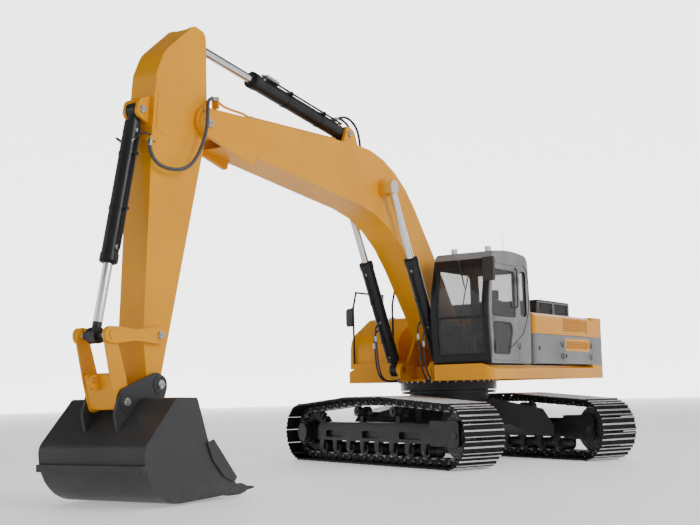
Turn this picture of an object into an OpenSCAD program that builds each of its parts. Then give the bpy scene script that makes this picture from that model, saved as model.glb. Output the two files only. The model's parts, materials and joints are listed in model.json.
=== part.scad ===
// Crawler excavator, millimetres, +X along the boom, +Y to the cab side, +Z up.
// The origin is on the slew axis, on the ground.

/* [Undercarriage] */
// Distance from idler axle to sprocket axle
wheelbase = 4040; // [3800:10:4300]
// Distance between the track centre lines
gauge = 2590; // [2500:10:2800]
// Width of a track shoe
shoe_width = 700; // [600:10:760]
// Shoes in one track
shoe_count = 50; // [46:1:54]
// Radius over the grousers at the idler and sprocket
end_radius = 470; // [450:1:490]
// Height of a grouser bar
grouser_h = 26; // [18:1:34]
// Thickness of a shoe plate
shoe_t = 14; // [10:1:20]
// Height of a link rail
link_h = 105; // [95:1:112]
// Height of the top run over its carrier rollers
top_run_z = 1045; // [1010:1:1060]
// Angle between the undercarriage and the boom
undercarriage_turn = 65.15; // [0:0.05:180]
// Bottom rollers in one track frame
roller_count = 8; // [6:1:9]
// Tread radius of a bottom roller
roller_r = 90; // [80:1:94]
// Width of a track frame
frame_w = 370; // [350:5:400]
// Underside of a track frame
frame_z = 350; // [345:1:360]
// Height of a track frame
frame_h = 290; // [260:1:300]

/* [Upper structure] */
// Height of the deck
deck_z = 1494; // [1480:1:1520]
// Depth of the skirt under the deck
skirt_h = 232; // [200:1:240]
// Width over the upper structure
house_w = 3000; // [2960:10:3040]
// Tail swing radius
tail_r = 3420; // [3380:5:3480]
// Height of the hood
hood_z = 2308; // [2260:1:2360]
// Height where the service doors meet the hood
band_z = 1975; // [1930:1:2010]
// Thickness of the house panels
panel_t = 40; // [25:1:50]
// Front of the counterweight
weight_x = -2610; // [-2680:5:-2580]
// Top of the engine cover
cover_z = 2590; // [2520:5:2640]
// Thickness of the boom brackets
bracket_t = 44; // [36:1:46]

/* [Cab] */
// Inner side of the cab
cab_y = 545; // [530:1:560]
// Front of the cab at the deck
cab_front = 1475; // [1450:1:1490]
// Height of the cab over the deck
cab_h = 1705; // [1660:5:1740]
// Thickness of the cab's walls and door
cab_wall = 62; // [50:1:70]
// Rear edge of the cab door
door_x = 480; // [460:1:500]
// Thickness of the window glass
glass_t = 8; // [5:1:12]
// Gap round a door
door_gap = 6; // [5:0.5:9]

/* [Boom] */
// Distance from boom foot to boom tip
boom_length = 6505; // [6300:5:6700]
// Angle of that line over the horizontal
boom_angle = 21; // [19:0.1:23]
// Width of the boom
boom_w = 480; // [470:2:484]
// Plate thickness of the boom
boom_plate = 14; // [10:1:20]
// Radius of the main pins
pin_r = 55; // [50:1:60]

/* [Dipper] */
// Distance from boom tip to bucket pin
dipper_length = 3180; // [3150:5:3250]
// Direction of the dipper
dipper_angle = -74.1; // [-76:0.1:-72]
// Width of the dipper
dipper_w = 370; // [362:2:376]
// Plate thickness of the dipper
dipper_plate = 14; // [10:1:18]

/* [Bucket] */
// Width of the bucket
bucket_w = 1530; // [1300:10:1700]
// Thickness of the bucket's sheet
bucket_t = 25; // [18:1:32]
// Teeth along the lip
tooth_count = 5; // [4:1:6]
// Length of the guide links
guide_length = 738; // [730:1:750]
// Length of the H link
link_length = 735; // [725:1:745]

/* [Cylinders] */
// Barrel radius of the lift cylinders
lift_barrel_r = 100; // [85:1:102]
// Rod radius of the lift cylinders
lift_rod_r = 54; // [45:1:60]
// Distance of a lift cylinder from the middle
lift_y = 396; // [394:1:400]
// Barrel radius of the dipper cylinder
arm_barrel_r = 103; // [90:1:106]
// Rod radius of the dipper cylinder
arm_rod_r = 56; // [48:1:60]
// Barrel radius of the bucket cylinder
crowd_barrel_r = 94; // [85:1:96]
// Rod radius of the bucket cylinder
crowd_rod_r = 52; // [44:1:56]

/* [Hidden] */
$fn = 48;
fit = 0.05;
side_gap = 6;
hinge_gap = 8;

function unit(v) = v / norm(v);
function turn(p, a) = [p.x * cos(a) - p.y * sin(a), p.x * sin(a) + p.y * cos(a)];
function left_of(v) = [-v.y, v.x];
function flat(p) = [p.x, p.y];

// Arc that rounds the corner p between its neighbours a and b with radius r
function corner(p, a, b, r) =
    let (u = unit(a - p), w = unit(b - p), half = acos(u * w) / 2)
    let (c = p + unit(u + w) * r / sin(half), s = p + u * r / tan(half), e = p + w * r / tan(half))
    let (a0 = atan2(s.y - c.y, s.x - c.x), a1 = atan2(e.y - c.y, e.x - c.x))
    let (sweep = (a1 - a0 + 540) % 360 - 180, n = max(2, ceil(abs(sweep) / 12)))
    [for (i = [0:n]) c + r * [cos(a0 + sweep * i / n), sin(a0 + sweep * i / n)]];

// Closed outline from corners given as [x, z, rounding radius]
function rounded(q) = let (m = len(q))
    [for (i = [0:m - 1])
        each (q[i].z > 0 ? corner(flat(q[i]), flat(q[(i + m - 1) % m]), flat(q[(i + 1) % m]), q[i].z)
            : [flat(q[i])])];

// The same corners moved inwards by t, for an anticlockwise outline
function inset(q, t) = let (m = len(q))
    [for (i = [0:m - 1])
        let (p = flat(q[i]), e1 = unit(p - flat(q[(i + m - 1) % m])), e2 = unit(flat(q[(i + 1) % m]) - p))
        let (n1 = left_of(e1), n2 = left_of(e2), o = p + (n1 + n2) * t / (1 + n1 * n2))
        let (r = cross(e1, e2) > 0 ? q[i].z - t : q[i].z + t)
        [o.x, o.y, q[i].z > 0 ? max(r, 1) : 0]];

// Crossing of two circles, to the left of the line from c0 to c1
function meet(c0, r0, c1, r1) =
    let (d = norm(c1 - c0), a = (r0 * r0 - r1 * r1 + d * d) / (2 * d), u = (c1 - c0) / d)
    c0 + u * a + left_of(u) * sqrt(r0 * r0 - a * a);

// Outline in the X-Z plane, as thick as y0 to y1
module plate(points, y0, y1)
    translate([0, y1, 0]) rotate([90, 0, 0]) linear_extrude(y1 - y0) polygon(points);
module both_plates(points, y0, y1) {
    plate(points, y0, y1);
    plate(points, -y1, -y0);
}
module bar_y(p, r, y0, y1)
    translate([p.x, y1, p.y]) rotate([90, 0, 0]) cylinder(r = r, h = y1 - y0);
module both_bars(p, r, y0, y1) {
    bar_y(p, r, y0, y1);
    bar_y(p, r, -y1, -y0);
}
module frame_at(p, a) translate([p.x, 0, p.y]) rotate([0, -a, 0]) children();
module under() rotate([0, 0, undercarriage_turn]) children();
module box(x0, x1, y0, y1, z0, z1) translate([x0, y0, z0]) cube([x1 - x0, y1 - y0, z1 - z0]);

// Pivots, in the X-Z plane
boom_foot = [240, 1985];
boom_tip = boom_foot + turn([boom_length, 0], boom_angle);
function on_boom(p) = boom_foot + turn(p, boom_angle);
function on_dipper(p) = boom_tip + turn(p, dipper_angle);
lift_foot = [1000, 1450];
lift_eye_at = [boom_length - 3795, 1210];
lift_eye = on_boom(lift_eye_at);
arm_foot_at = [boom_length - 2925, 1650];
arm_foot = on_boom(arm_foot_at);
arm_eye_at = [-965, 360];
arm_eye = on_dipper(arm_eye_at);
crowd_foot_at = [265, 945];
crowd_foot = on_dipper(crowd_foot_at);
guide_at = [dipper_length - 520, 130];
guide_pivot = on_dipper(guide_at);
bucket_pivot = on_dipper([dipper_length, 0]);
bucket_link_at = [523, -182];
bucket_link = bucket_pivot + bucket_link_at;
link_top = meet(guide_pivot, guide_length, bucket_link, link_length);

// Track belt: the line where the shoes meet the link rails, round four circles
belt_r = end_radius - shoe_t - grouser_h;
carrier_u = [-579, 433];
carrier_r = 78;
// Room for the flat links as they bend over a carrier roller
link_bend = 12;
carrier_belt_r = carrier_r + link_bend + link_h;
carrier_z = top_run_z - shoe_t - grouser_h - carrier_belt_r;
// Columns: place along the track, height, belt radius
belt_circles = [[wheelbase / 2, end_radius, belt_r], [carrier_u[1], carrier_z, carrier_belt_r],
    [carrier_u[0], carrier_z, carrier_belt_r], [-wheelbase / 2, end_radius, belt_r]];
belt_n = len(belt_circles);
function belt_circle(i) = belt_circles[(i + belt_n) % belt_n];
function belt_span(i) = flat(belt_circle(i + 1)) - flat(belt_circle(i));
// Direction of the outward normal on the straight run after circle i
function belt_normal(i) = let (d = belt_span(i), fall = belt_circle(i).z - belt_circle(i + 1).z)
    (atan2(d.y, d.x) - acos(fall / norm(d)) + 450) % 360 - 90;
function belt_start(i) = i == 0 ? -90 : belt_normal(i - 1);
function belt_end(i) = i == belt_n - 1 ? 270 : belt_normal(i);
function belt_arc(i) = belt_circle(i).z * (belt_end(i) - belt_start(i)) * PI / 180;
function belt_run(i) = let (d = norm(belt_span(i)), fall = belt_circle(i).z - belt_circle(i + 1).z)
    sqrt(d * d - fall * fall);
function belt_length(i) = i < 0 ? 0 : belt_arc(i) + belt_run(i) + belt_length(i - 1);
shoe_pitch = belt_length(belt_n - 1) / shoe_count;
// Place on the belt at distance s, as [along, height, direction of the outward normal]
function station(s, i = 0) = let (c = belt_circle(i), arc = belt_arc(i))
    s < arc ? let (a = belt_start(i) + s / c.z * 180 / PI) [c.x + c.z * cos(a), c.y + c.z * sin(a), a]
    : s < arc + belt_run(i) || i == belt_n - 1 ?
        let (a = belt_end(i), p = flat(c) + c.z * [cos(a), sin(a)] + (s - arc) * [-sin(a), cos(a)])
        [p.x, p.y, a]
    : station(s - arc - belt_run(i), i + 1);
function belt_offset(st, along, out) =
    [st.x, st.y] + along * [-sin(st.z), cos(st.z)] + out * [cos(st.z), sin(st.z)];
// One shoe, as [share of the pitch, height over the belt]
shoe_top = shoe_t + grouser_h;
shoe_shape = [[-0.47, shoe_t], [-0.44, shoe_top], [-0.37, shoe_top], [-0.2, shoe_t], [-0.04, shoe_top],
    [0.04, shoe_top], [0.2, shoe_t], [0.37, shoe_top], [0.44, shoe_top], [0.47, shoe_t]];
belt_joints = [for (i = [0:shoe_count - 1]) station(i * shoe_pitch)];
shoe_outline = [for (i = [0:shoe_count - 1]) let (st = station((i + 0.5) * shoe_pitch))
    each [for (p = shoe_shape) let (q = belt_offset(st, p.x * shoe_pitch, p.y)) [q.x, max(q.y, 0)]]];
function belt_ring(out) = [for (st = belt_joints) belt_offset(st, 0, out)];
rail_in = 70;
rail_out = 122;
rail_face_r = (belt_r - link_h) * cos(shoe_pitch / belt_r * 90 / PI);

module track_at(side) under() translate([0, side * gauge / 2, 0]) children();

module track(side) color([0.16, 0.16, 0.17]) track_at(side) {
    difference() {
        plate(shoe_outline, -shoe_width / 2, shoe_width / 2);
        plate(belt_ring(0), -shoe_width / 2 - 1, shoe_width / 2 + 1);
    }
    difference() {
        both_plates(belt_ring(0), rail_in, rail_out);
        both_plates(belt_ring(-link_h), rail_in - 1, rail_out + 1);
    }
}
module track_left() track(1);
module track_right() track(-1);

// Track frame: a box beam with roller brackets, a drive plate and an idler fork
roller_z = shoe_top + link_h + roller_r;
roller_pin_r = 34;
roller_half = 140;
bracket_y = roller_half + 3;
frame_front = wheelbase / 2 - 545;
frame_rear = -wheelbase / 2 + 320;
frame_top_w = frame_w - 110;
fork_t = 45;
fork_front = wheelbase / 2 + 110;
idler_pin_r = 60;
drive_plate_t = 40;
drive_r = 225;
first_roller = 130;
last_roller = 190;
function roller_u(i) = frame_rear + first_roller
    + (frame_front - frame_rear - first_roller - last_roller) * i / (roller_count - 1);
frame_section = [[-frame_w / 2, frame_z], [frame_w / 2, frame_z], [frame_w / 2, frame_z + frame_h * 0.6],
    [frame_top_w / 2, frame_z + frame_h], [-frame_top_w / 2, frame_z + frame_h],
    [-frame_w / 2, frame_z + frame_h * 0.6]];
// Openings in the outer face, as [middle along the track, length]
frame_windows = [[frame_rear + 550, 560], [(frame_front + frame_rear) / 2, 460], [frame_front - 525, 560]];
window_depth = 60;
carrier_post = [46, 60];
module track_frame(side) color([0.42, 0.42, 0.42]) track_at(side) {
    difference() {
        translate([frame_rear, 0, 0]) rotate([90, 0, 90])
            linear_extrude(frame_front - frame_rear) polygon(frame_section);
        for (w = frame_windows)
            translate([w[0], side * frame_w / 2, 0])
                plate(rounded([[-w[1] / 2, frame_z + 50, 40], [w[1] / 2, frame_z + 50, 40],
                    [w[1] / 2, frame_z + frame_h * 0.55, 40], [-w[1] / 2, frame_z + frame_h * 0.55, 40]]),
                    -window_depth, window_depth);
        box(frame_rear - 1, -wheelbase / 2 + sprocket_tip + 15, -sprocket_half - 12, sprocket_half + 12, 0, 2000);
    }
    for (i = [0:roller_count - 1])
        difference() {
            both_plates(rounded([[roller_u(i) - 62, frame_z, 0], [roller_u(i) - 50, roller_z - 48, 30],
                [roller_u(i) + 50, roller_z - 48, 30], [roller_u(i) + 62, frame_z, 0]]),
                bracket_y, frame_w / 2);
            bar_y([roller_u(i), roller_z], roller_pin_r + fit, -frame_w, frame_w);
        }
    for (u = carrier_u)
        difference() {
            box(u - carrier_post[0], u + carrier_post[0], -carrier_post[1] / 2, carrier_post[1] / 2,
                frame_z + frame_h, carrier_z + 40);
            bar_y([u, carrier_z], roller_pin_r + fit, -frame_w, frame_w);
        }
    difference() {
        both_plates(rounded([[frame_front, 318, 0], [fork_front, 318, 60], [fork_front, 684, 60],
            [frame_front, 684, 0]]), frame_w / 2 - fork_t, frame_w / 2);
        bar_y([wheelbase / 2, end_radius], idler_pin_r + fit, -frame_w, frame_w);
    }
    box(frame_front - 20, frame_front + 25, -frame_w / 2, frame_w / 2, 318, 684);
    difference() {
        plate(rounded([[frame_rear, frame_z, 0], [frame_rear, frame_z + frame_h * 0.6, 0],
            [-wheelbase / 2 + 100, 730, 120], [-wheelbase / 2 - 250, 720, 160],
            [-wheelbase / 2 - 250, 240, 160], [-wheelbase / 2 + 100, 240, 120]]),
            -side * frame_w / 2 - (side < 0 ? drive_plate_t : 0),
            -side * frame_w / 2 + (side > 0 ? drive_plate_t : 0));
        bar_y([-wheelbase / 2, end_radius], drive_r - 60 + fit, -frame_w, frame_w);
    }
}
module track_frame_left() track_frame(1);
module track_frame_right() track_frame(-1);

// Wheels of the track: treads run on the link rails
module turned(p, steps) for (s = steps) bar_y(p, s[0], s[1], s[2]);
module bottom_rollers() color([0.25, 0.25, 0.25]) for (side = [-1, 1]) track_at(side)
    for (i = [0:roller_count - 1])
        turned([roller_u(i), roller_z], [[roller_r - 0.3, -roller_half + 12, roller_half - 12],
            [roller_r + 16, -roller_half, -rail_out - 2], [roller_r + 16, rail_out + 2, roller_half],
            [roller_pin_r, -frame_w / 2 - 6, frame_w / 2 + 6]]);
module carrier_rollers() color([0.55, 0.55, 0.54]) for (side = [-1, 1]) track_at(side)
    for (u = carrier_u)
        for (s = [-1, 1]) {
            near = min(s * (carrier_post[1] / 2 + 3), s * 128);
            turned([u, carrier_z], [[carrier_r - 0.3, near, near + 95],
                [roller_pin_r, min(0, s * 150), max(0, s * 150)]]);
        }
idler_r = rail_face_r - 0.3;
module idlers() color([0.3, 0.3, 0.3]) for (side = [-1, 1]) track_at(side)
    turned([wheelbase / 2, end_radius], [[idler_r, -rail_out, rail_out], [idler_r + 48, -rail_in + 12, rail_in - 12],
        [150, -frame_w / 2 + fork_t + 2, frame_w / 2 - fork_t - 2],
        [idler_pin_r, -frame_w / 2 - 8, frame_w / 2 + 8]]);

// Sprocket: teeth stand between the link rails
tooth_n = 22;
sprocket_root = rail_face_r - 12;
sprocket_tip = belt_r * cos(shoe_pitch / belt_r * 90 / PI) - 8;
sprocket_half = 38;
sprocket_outline = [for (i = [0:tooth_n - 1]) each
    [for (c = [[-0.34, sprocket_root], [-0.16, sprocket_tip], [0.16, sprocket_tip], [0.34, sprocket_root]])
        c[1] * [cos((i + c[0]) * 360 / tooth_n), sin((i + c[0]) * 360 / tooth_n)]]];
hub_out = 300;
module sprockets() color([0.28, 0.28, 0.28]) for (side = [-1, 1]) track_at(side)
    difference() {
        translate([-wheelbase / 2, 0, end_radius])
            plate(sprocket_outline, -sprocket_half, sprocket_half);
        bar_y([-wheelbase / 2, end_radius], drive_r - 20 + fit, -frame_w, frame_w);
    }
// Hub drive: from the motor inside the frame plate to the cover outside the sprocket
module hub_drives() color([0.38, 0.38, 0.37]) for (side = [-1, 1]) track_at(side)
    rotate([0, 0, side < 0 ? 180 : 0]) {
        p = [side < 0 ? wheelbase / 2 : -wheelbase / 2, end_radius];
        turned(p, [[drive_r - 60, -frame_w / 2 - 90, -sprocket_half], [drive_r - 20, -sprocket_half - 30, 150],
            [drive_r - 45, 150, hub_out - 60], [drive_r - 80, hub_out - 60, hub_out]]);
    }

// Car body: a ring tower on four legs
tower_r = 660;
tower_z = 1062;
leg_w = 430;
leg_u = 960;
leg_in = gauge / 2 - frame_w / 2;
// Columns: distance from the middle, height, for the legs seen from the front
leg_section = [[-leg_in, 372], [-leg_in + 260, 372], [-600, 548], [600, 548], [leg_in - 260, 372], [leg_in, 372],
    [leg_in, frame_z + frame_h * 0.6], [leg_in - 120, 790], [420, 960], [-420, 960], [-leg_in + 120, 790],
    [-leg_in, frame_z + frame_h * 0.6]];
module car_body() color([0.36, 0.36, 0.36]) under() {
    intersection() {
        translate([-wheelbase / 2, 0, 0]) rotate([90, 0, 90]) linear_extrude(wheelbase) polygon(leg_section);
        translate([0, 0, 300]) linear_extrude(800)
            for (a = [1, -1])
                rotate(a * atan2(leg_in, leg_u)) translate([-2000, -leg_w / 2]) square([4000, leg_w]);
    }
    translate([0, 0, 540]) cylinder(r = tower_r - 20, h = tower_z - 540, $fn = 64);
}

// Slew ring: the upper ring turns round the collar of the lower one
ring_r = 640;
ring_flange_r = 760;
ring_z = tower_z + 48;
upper_ring_z = ring_z + side_gap;
deck_bottom = deck_z - skirt_h;
module slew_ring_lower() color([0.12, 0.12, 0.12]) difference() {
    union() {
        translate([0, 0, tower_z]) cylinder(r = ring_flange_r, h = ring_z - tower_z, $fn = 96);
        translate([0, 0, tower_z]) cylinder(r = ring_r, h = deck_bottom - 20 - tower_z, $fn = 96);
    }
    translate([0, 0, tower_z - 1]) cylinder(r = ring_r - 130, h = 400, $fn = 96);
}
module slew_ring_upper() color([0.1, 0.1, 0.1]) difference() {
    translate([0, 0, upper_ring_z]) cylinder(r = ring_flange_r + 20, h = deck_bottom - upper_ring_z, $fn = 96);
    translate([0, 0, upper_ring_z - 1]) cylinder(r = ring_r + fit, h = 400, $fn = 96);
}

// Revolving frame: deck with skirts, and the brackets that carry boom and lift cylinders
house_y = house_w / 2;
deck_t = 24;
skirt_t = 40;
right_front = 706;
centre_front = 600;
centre_y = 330;
// Columns: x, y, corner radius
deck_plan = [[weight_x, -house_y, 0], [right_front, -house_y, 90], 
    [right_front, -centre_y, 0], [centre_front, -centre_y, 30], [centre_front, centre_y, 30],
    [right_front, centre_y, 0], [right_front, cab_y, 0], [cab_front + 25, cab_y, 30],
    [cab_front + 25, house_y, 110], [weight_x, house_y, 0]];
skirt_low = 100;
bracket_in = boom_w / 2 + side_gap;
bracket_out = bracket_in + bracket_t;
bracket_rear = -530;
bracket_profile = rounded([[bracket_rear, deck_bottom, 0], [1120, deck_bottom, 30], [1125, 1520, 100],
    [870, 1550, 60], [480, 2130, 170], [60, 2190, 170], [-260, 1840, 300], [bracket_rear, 1600, 60]]);
lift_eye_half = 60;
module revolving_frame() color([0.93, 0.68, 0.05]) {
    difference() {
        translate([0, 0, deck_bottom]) linear_extrude(skirt_h) polygon(rounded(deck_plan));
        translate([0, 0, deck_bottom - 1]) linear_extrude(skirt_h + 1 - deck_t)
            polygon(rounded(inset(deck_plan, skirt_t)));
        skirt_chamfer(1);
        skirt_chamfer(-1);
    }
    translate([0, 0, deck_bottom]) cylinder(r = ring_flange_r + 60, h = 36, $fn = 96);
    difference() {
        union() {
            both_plates(bracket_profile, bracket_in, bracket_out);
            both_bars(boom_foot, 150, bracket_in, bracket_out + 20);
            both_bars(lift_foot, 110, bracket_in, lift_y - lift_eye_half - side_gap);
        }
        bar_y(boom_foot, pin_r + fit, -house_y, house_y);
        bar_y(lift_foot, pin_r + fit, -house_y, house_y);
    }
    box(bracket_rear, bracket_rear + 40, -bracket_in, bracket_in, deck_bottom, 1600);
}
// Rounded lower edge of the long skirts, as wedges that turn from side to bottom
module skirt_chamfer(s)
    for (a = [15, 40, 65])
        translate([weight_x - 10, s * (house_y - skirt_low), deck_bottom + skirt_low])
            rotate([s * a, 0, 0])
                translate([0, s > 0 ? skirt_low : -skirt_low - 200, -300])
                    cube([cab_front - weight_x + 400, 200, 600]);

// Pins that stay in the revolving frame
pin_head = 14;
module upper_pins() color([0.7, 0.7, 0.68])
    for (s = [-1, 1]) mirror([0, s < 0 ? 1 : 0, 0]) {
        bar_y(boom_foot, pin_r, bracket_in - side_gap - 40, bracket_out + 20 + pin_head);
        bar_y(lift_foot, pin_r, bracket_in, lift_y + lift_eye_half + pin_head);
    }

// Counterweight: tail arc round the slew axis, rolled over at top and bottom
weight_y = house_y - 20;
weight_top = hood_z + 10;
tail_points = [for (i = [-12:12]) let (a = 180 + i * asin(weight_y / tail_r) / 12) tail_r * [cos(a), sin(a)]];
weight_plan = concat([[weight_x, weight_y]], [for (p = tail_points) [max(p.x, -tail_r + 0), p.y]],
    [[weight_x, -weight_y]]);
weight_side = rounded([[weight_x, deck_bottom, 0], [weight_x, weight_top, 0], [-tail_r, weight_top, 130],
    [-tail_r + 20, deck_bottom + 90, 160], [-tail_r + 330, deck_bottom, 200]]);
module counterweight() color([0.45, 0.45, 0.45]) intersection() {
    translate([0, 0, deck_bottom]) linear_extrude(weight_top - deck_bottom) polygon(weight_plan);
    plate(weight_side, -house_y, house_y);
}

// Hinge: a pin on a lug of the fixed side, and a knuckle on the moving side, above the lug.
// The axis is upright at the origin, the moving panel lies towards +X with its face at -knuckle_out.
hinge_pin_r = 9;
knuckle_r = 17;
knuckle_h = 60;
knuckle_out = 20;
module hinge_pin() {
    translate([0, 0, -knuckle_h / 2]) cylinder(r = hinge_pin_r, h = knuckle_h * 1.5);
    translate([0, 0, -knuckle_h / 2]) cylinder(r = knuckle_r, h = knuckle_h / 2 - 1);
    box(-60, 0, -knuckle_out, -knuckle_out + 12, -knuckle_h / 2, -1);
    box(-knuckle_r, 0, -knuckle_out, 0, -knuckle_h / 2, -1);
}
module hinge_knuckle() difference() {
    union() {
        cylinder(r = knuckle_r, h = knuckle_h);
        box(0, 80, -knuckle_out, -knuckle_out + 12, 0, knuckle_h);
        box(0, knuckle_r, -knuckle_out, 0, 0, knuckle_h);
    }
    translate([0, 0, -1]) cylinder(r = hinge_pin_r + fit, h = knuckle_h + 2);
}

// House: hood over posts and service doors, round a plain engine
house_front_left = -141;
house_front_mid = -560;
tank_rear = -760;
panel_y = house_y - 15;
house_plan = [[weight_x, -panel_y, 0], [tank_rear, -panel_y, 0], [tank_rear, -cab_y, 30], [house_front_mid, -cab_y, 0],
    [house_front_mid, cab_y, 0], [house_front_left, cab_y, 30], [house_front_left, panel_y, 60],
    [weight_x, panel_y, 0]];
hood_section = rounded([[-panel_y, band_z, 0], [panel_y, band_z, 0], [panel_y, hood_z, 90], [-panel_y, hood_z, 90]]);
cover_x = [-2560, -1090];
cover_y = [-640, 1100];
grille_x = [-2400, -1295];
grille_z = [2042, 2259];
slat_n = 7;
// The cover's hinges lie across the hood, at its front edge
cover_hinge = [cover_x[1] + 26, hood_z + knuckle_out + door_gap];
module cover_hinges() for (y = [cover_y[0] + 300, cover_y[1] - 300])
    translate([cover_hinge.x, y, cover_hinge.y]) rotate([90, 0, 180]) children();
module hood() color([0.93, 0.68, 0.05]) {
    hood_shell();
    cover_hinges() {
        hinge_pin();
        box(-60, 0, -knuckle_out - door_gap, -knuckle_out, -knuckle_h / 2, -1);
    }
}
module hood_shell() difference() {
    intersection() {
        translate([0, 0, band_z]) linear_extrude(hood_z - band_z) polygon(rounded(house_plan));
        translate([weight_x, 0, 0]) rotate([90, 0, 90]) linear_extrude(house_front_left - weight_x) polygon(hood_section);
    }
    translate([0, 0, band_z - 1]) linear_extrude(hood_z - band_z + 1 - panel_t)
        polygon(rounded(inset(house_plan, panel_t)));
    box(cover_x[0] + 60, cover_x[1] - 60, cover_y[0] + 60, cover_y[1] - 60, hood_z - 200, hood_z + 1);
    for (i = [0:slat_n - 1])
        let (step = (grille_z[1] - grille_z[0]) / slat_n)
            box(grille_x[0], grille_x[1], panel_y - panel_t - 1, panel_y + 1,
                grille_z[0] + (i + 0.25) * step, grille_z[0] + (i + 0.75) * step);
}
post_w = 90;
door_split = -1290;
right_door_x = [weight_x + post_w, tank_rear - post_w];
left_doors = [[door_split + post_w / 2, house_front_left - post_w], [weight_x + post_w, door_split - post_w / 2]];
module house_posts() color([0.4, 0.4, 0.4]) {
    post_walls();
    for (d = left_doors) service_hinges(d, 1) hinge_pin();
    service_hinges(right_door_x, -1) hinge_pin();
}
module post_walls() difference() {
    translate([0, 0, deck_z]) linear_extrude(band_z - deck_z) polygon(rounded(house_plan));
    translate([0, 0, deck_z - 1]) linear_extrude(band_z - deck_z + 2) polygon(rounded(inset(house_plan, panel_t)));
    for (d = left_doors)
        box(d[0] - door_gap, d[1] + door_gap, panel_y - panel_t - 1, panel_y + 1, deck_z - 1, band_z + 1);
    box(right_door_x[0] - door_gap, right_door_x[1] + door_gap, -panel_y - 1, -panel_y + panel_t + 1, deck_z - 1, band_z + 1);
}
module service_door(x, s, grille) difference() {
    box(x[0], x[1], s > 0 ? panel_y - panel_t : -panel_y, s > 0 ? panel_y : -panel_y + panel_t,
        deck_z + door_gap, band_z - door_gap);
    if (grille)
        for (i = [0:3])
            box(x[0] + 140, x[1] - 110, s > 0 ? panel_y - panel_t - 1 : -panel_y - 1,
                s > 0 ? panel_y + 1 : -panel_y + panel_t + 1, 1765 + i * 30, 1781 + i * 30);
}
hinge_levels = [deck_z + 120, band_z - 170];
module service_hinges(x, s) for (z = hinge_levels)
    mirror([0, s < 0 ? 1 : 0, 0]) translate([x[0] - door_gap / 2, panel_y + knuckle_out, z]) children();
module door_front_left() color([0.45, 0.45, 0.45]) {
    service_door(left_doors[0], 1, false);
    service_hinges(left_doors[0], 1) hinge_knuckle();
}
module door_rear_left() color([0.45, 0.45, 0.45]) {
    service_door(left_doors[1], 1, true);
    service_hinges(left_doors[1], 1) hinge_knuckle();
}
module door_right() color([0.45, 0.45, 0.45]) {
    service_door(right_door_x, -1, true);
    service_hinges(right_door_x, -1) hinge_knuckle();
}
engine_x = [-2480, -1500];
engine_y = [-450, 560];
engine_top = 2210;
module engine_block() color([0.3, 0.3, 0.3])
    box(engine_x[0], engine_x[1], engine_y[0], engine_y[1], deck_z, engine_top);
// Engine cover: a lid with two mesh windows in its left side
cover_t = 30;
cover_section = rounded([[cover_x[0], hood_z + door_gap, 0], [cover_x[1], hood_z + door_gap, 0], [cover_x[1] - 60, cover_z, 70],
    [cover_x[0], cover_z, 40]]);
module engine_cover() color([0.1, 0.1, 0.1]) {
    cover_shell();
    cover_hinges() hinge_knuckle();
}
module cover_shell() difference() {
    plate(cover_section, cover_y[0], cover_y[1]);
    plate([[cover_x[0] + cover_t, 0], [cover_x[1] - cover_t - 62, 0], [cover_x[1] - cover_t - 62, cover_z - cover_t],
        [cover_x[0] + cover_t, cover_z - cover_t]], cover_y[0] + cover_t, cover_y[1] - cover_t);
    for (k = [0, 1])
        let (w = (cover_x[1] - cover_x[0] - 260) / 2, x = cover_x[0] + 80 + k * (w + 70))
            for (i = [0:5])
                box(x, x + w, cover_y[1] - cover_t - 1, cover_y[1] + 1, hood_z + 60 + i * 30, hood_z + 76 + i * 30);
}

// Fuel tank and step at the right front
tank_top = hood_z + 29;
tank_front = right_front - 86;
tank_profile = rounded([[tank_rear + 10, deck_z, 0], [tank_front, deck_z, 0], [tank_front - 20, tank_top - 347, 330],
    [tank_front - 660, tank_top, 260], [tank_rear + 10, tank_top, 60]]);
step_h = 80;
module fuel_tank() color([0.93, 0.68, 0.05]) {
    plate(tank_profile, -panel_y, -cab_y - 30);
    box(tank_front - 10, right_front - 15, -panel_y + 60, -cab_y - 40, deck_z, deck_z + step_h);
    translate([tank_rear + 340, -panel_y + 220, tank_top]) cylinder(r = 60, h = 40);
}

// Cab: one side profile carried across its width, hollow, with its openings cut
cab_top = deck_z + cab_h;
cab_out = house_y - 8;
// Columns: x, z, corner radius
cab_profile = [[60, deck_z, 30], [cab_front, deck_z, 60], [cab_front + 85, deck_z + 860, 1500],
    [cab_front - 150, cab_top - 40, 170], [660, cab_top + 6, 3000], [70, cab_top - 40, 150], [12, deck_z + 760, 2500]];
roof_z = cab_top - 150;
sill_z = deck_z + 70;
window_top = deck_z + 1420;
glass_split = deck_z + 680;
pillar = 85;
door_front = cab_front - 60;
door_low = deck_z + 50;
door_high = deck_z + 1480;
module cab_shell() difference() {
    plate(rounded(cab_profile), cab_y, cab_out);
    plate(rounded(inset(cab_profile, cab_wall)), cab_y + cab_wall, cab_out - cab_wall);
}
module cab_windows() {
    box(cab_front - 260, cab_front + 300, cab_y + pillar, cab_out - pillar, deck_z + 130, glass_split - 20);
    box(cab_front - 260, cab_front + 300, cab_y + pillar, cab_out - pillar, glass_split + 20, window_top);
    box(-50, 200, cab_y + pillar, cab_out - pillar, deck_z + 700, window_top);
    plate(rounded([[190, deck_z + 640, 70], [cab_front - 120, deck_z + 560, 70], [cab_front - 170, window_top, 70],
        [190, window_top, 70]]), cab_y - 1, cab_y + cab_wall + 1);
    plate(rounded([[150, deck_z + 720, 70], [door_x - pillar, deck_z + 720, 70], [door_x - pillar, window_top, 70],
        [150, window_top, 70]]), cab_out - cab_wall - 1, cab_out + 1);
}
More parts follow.
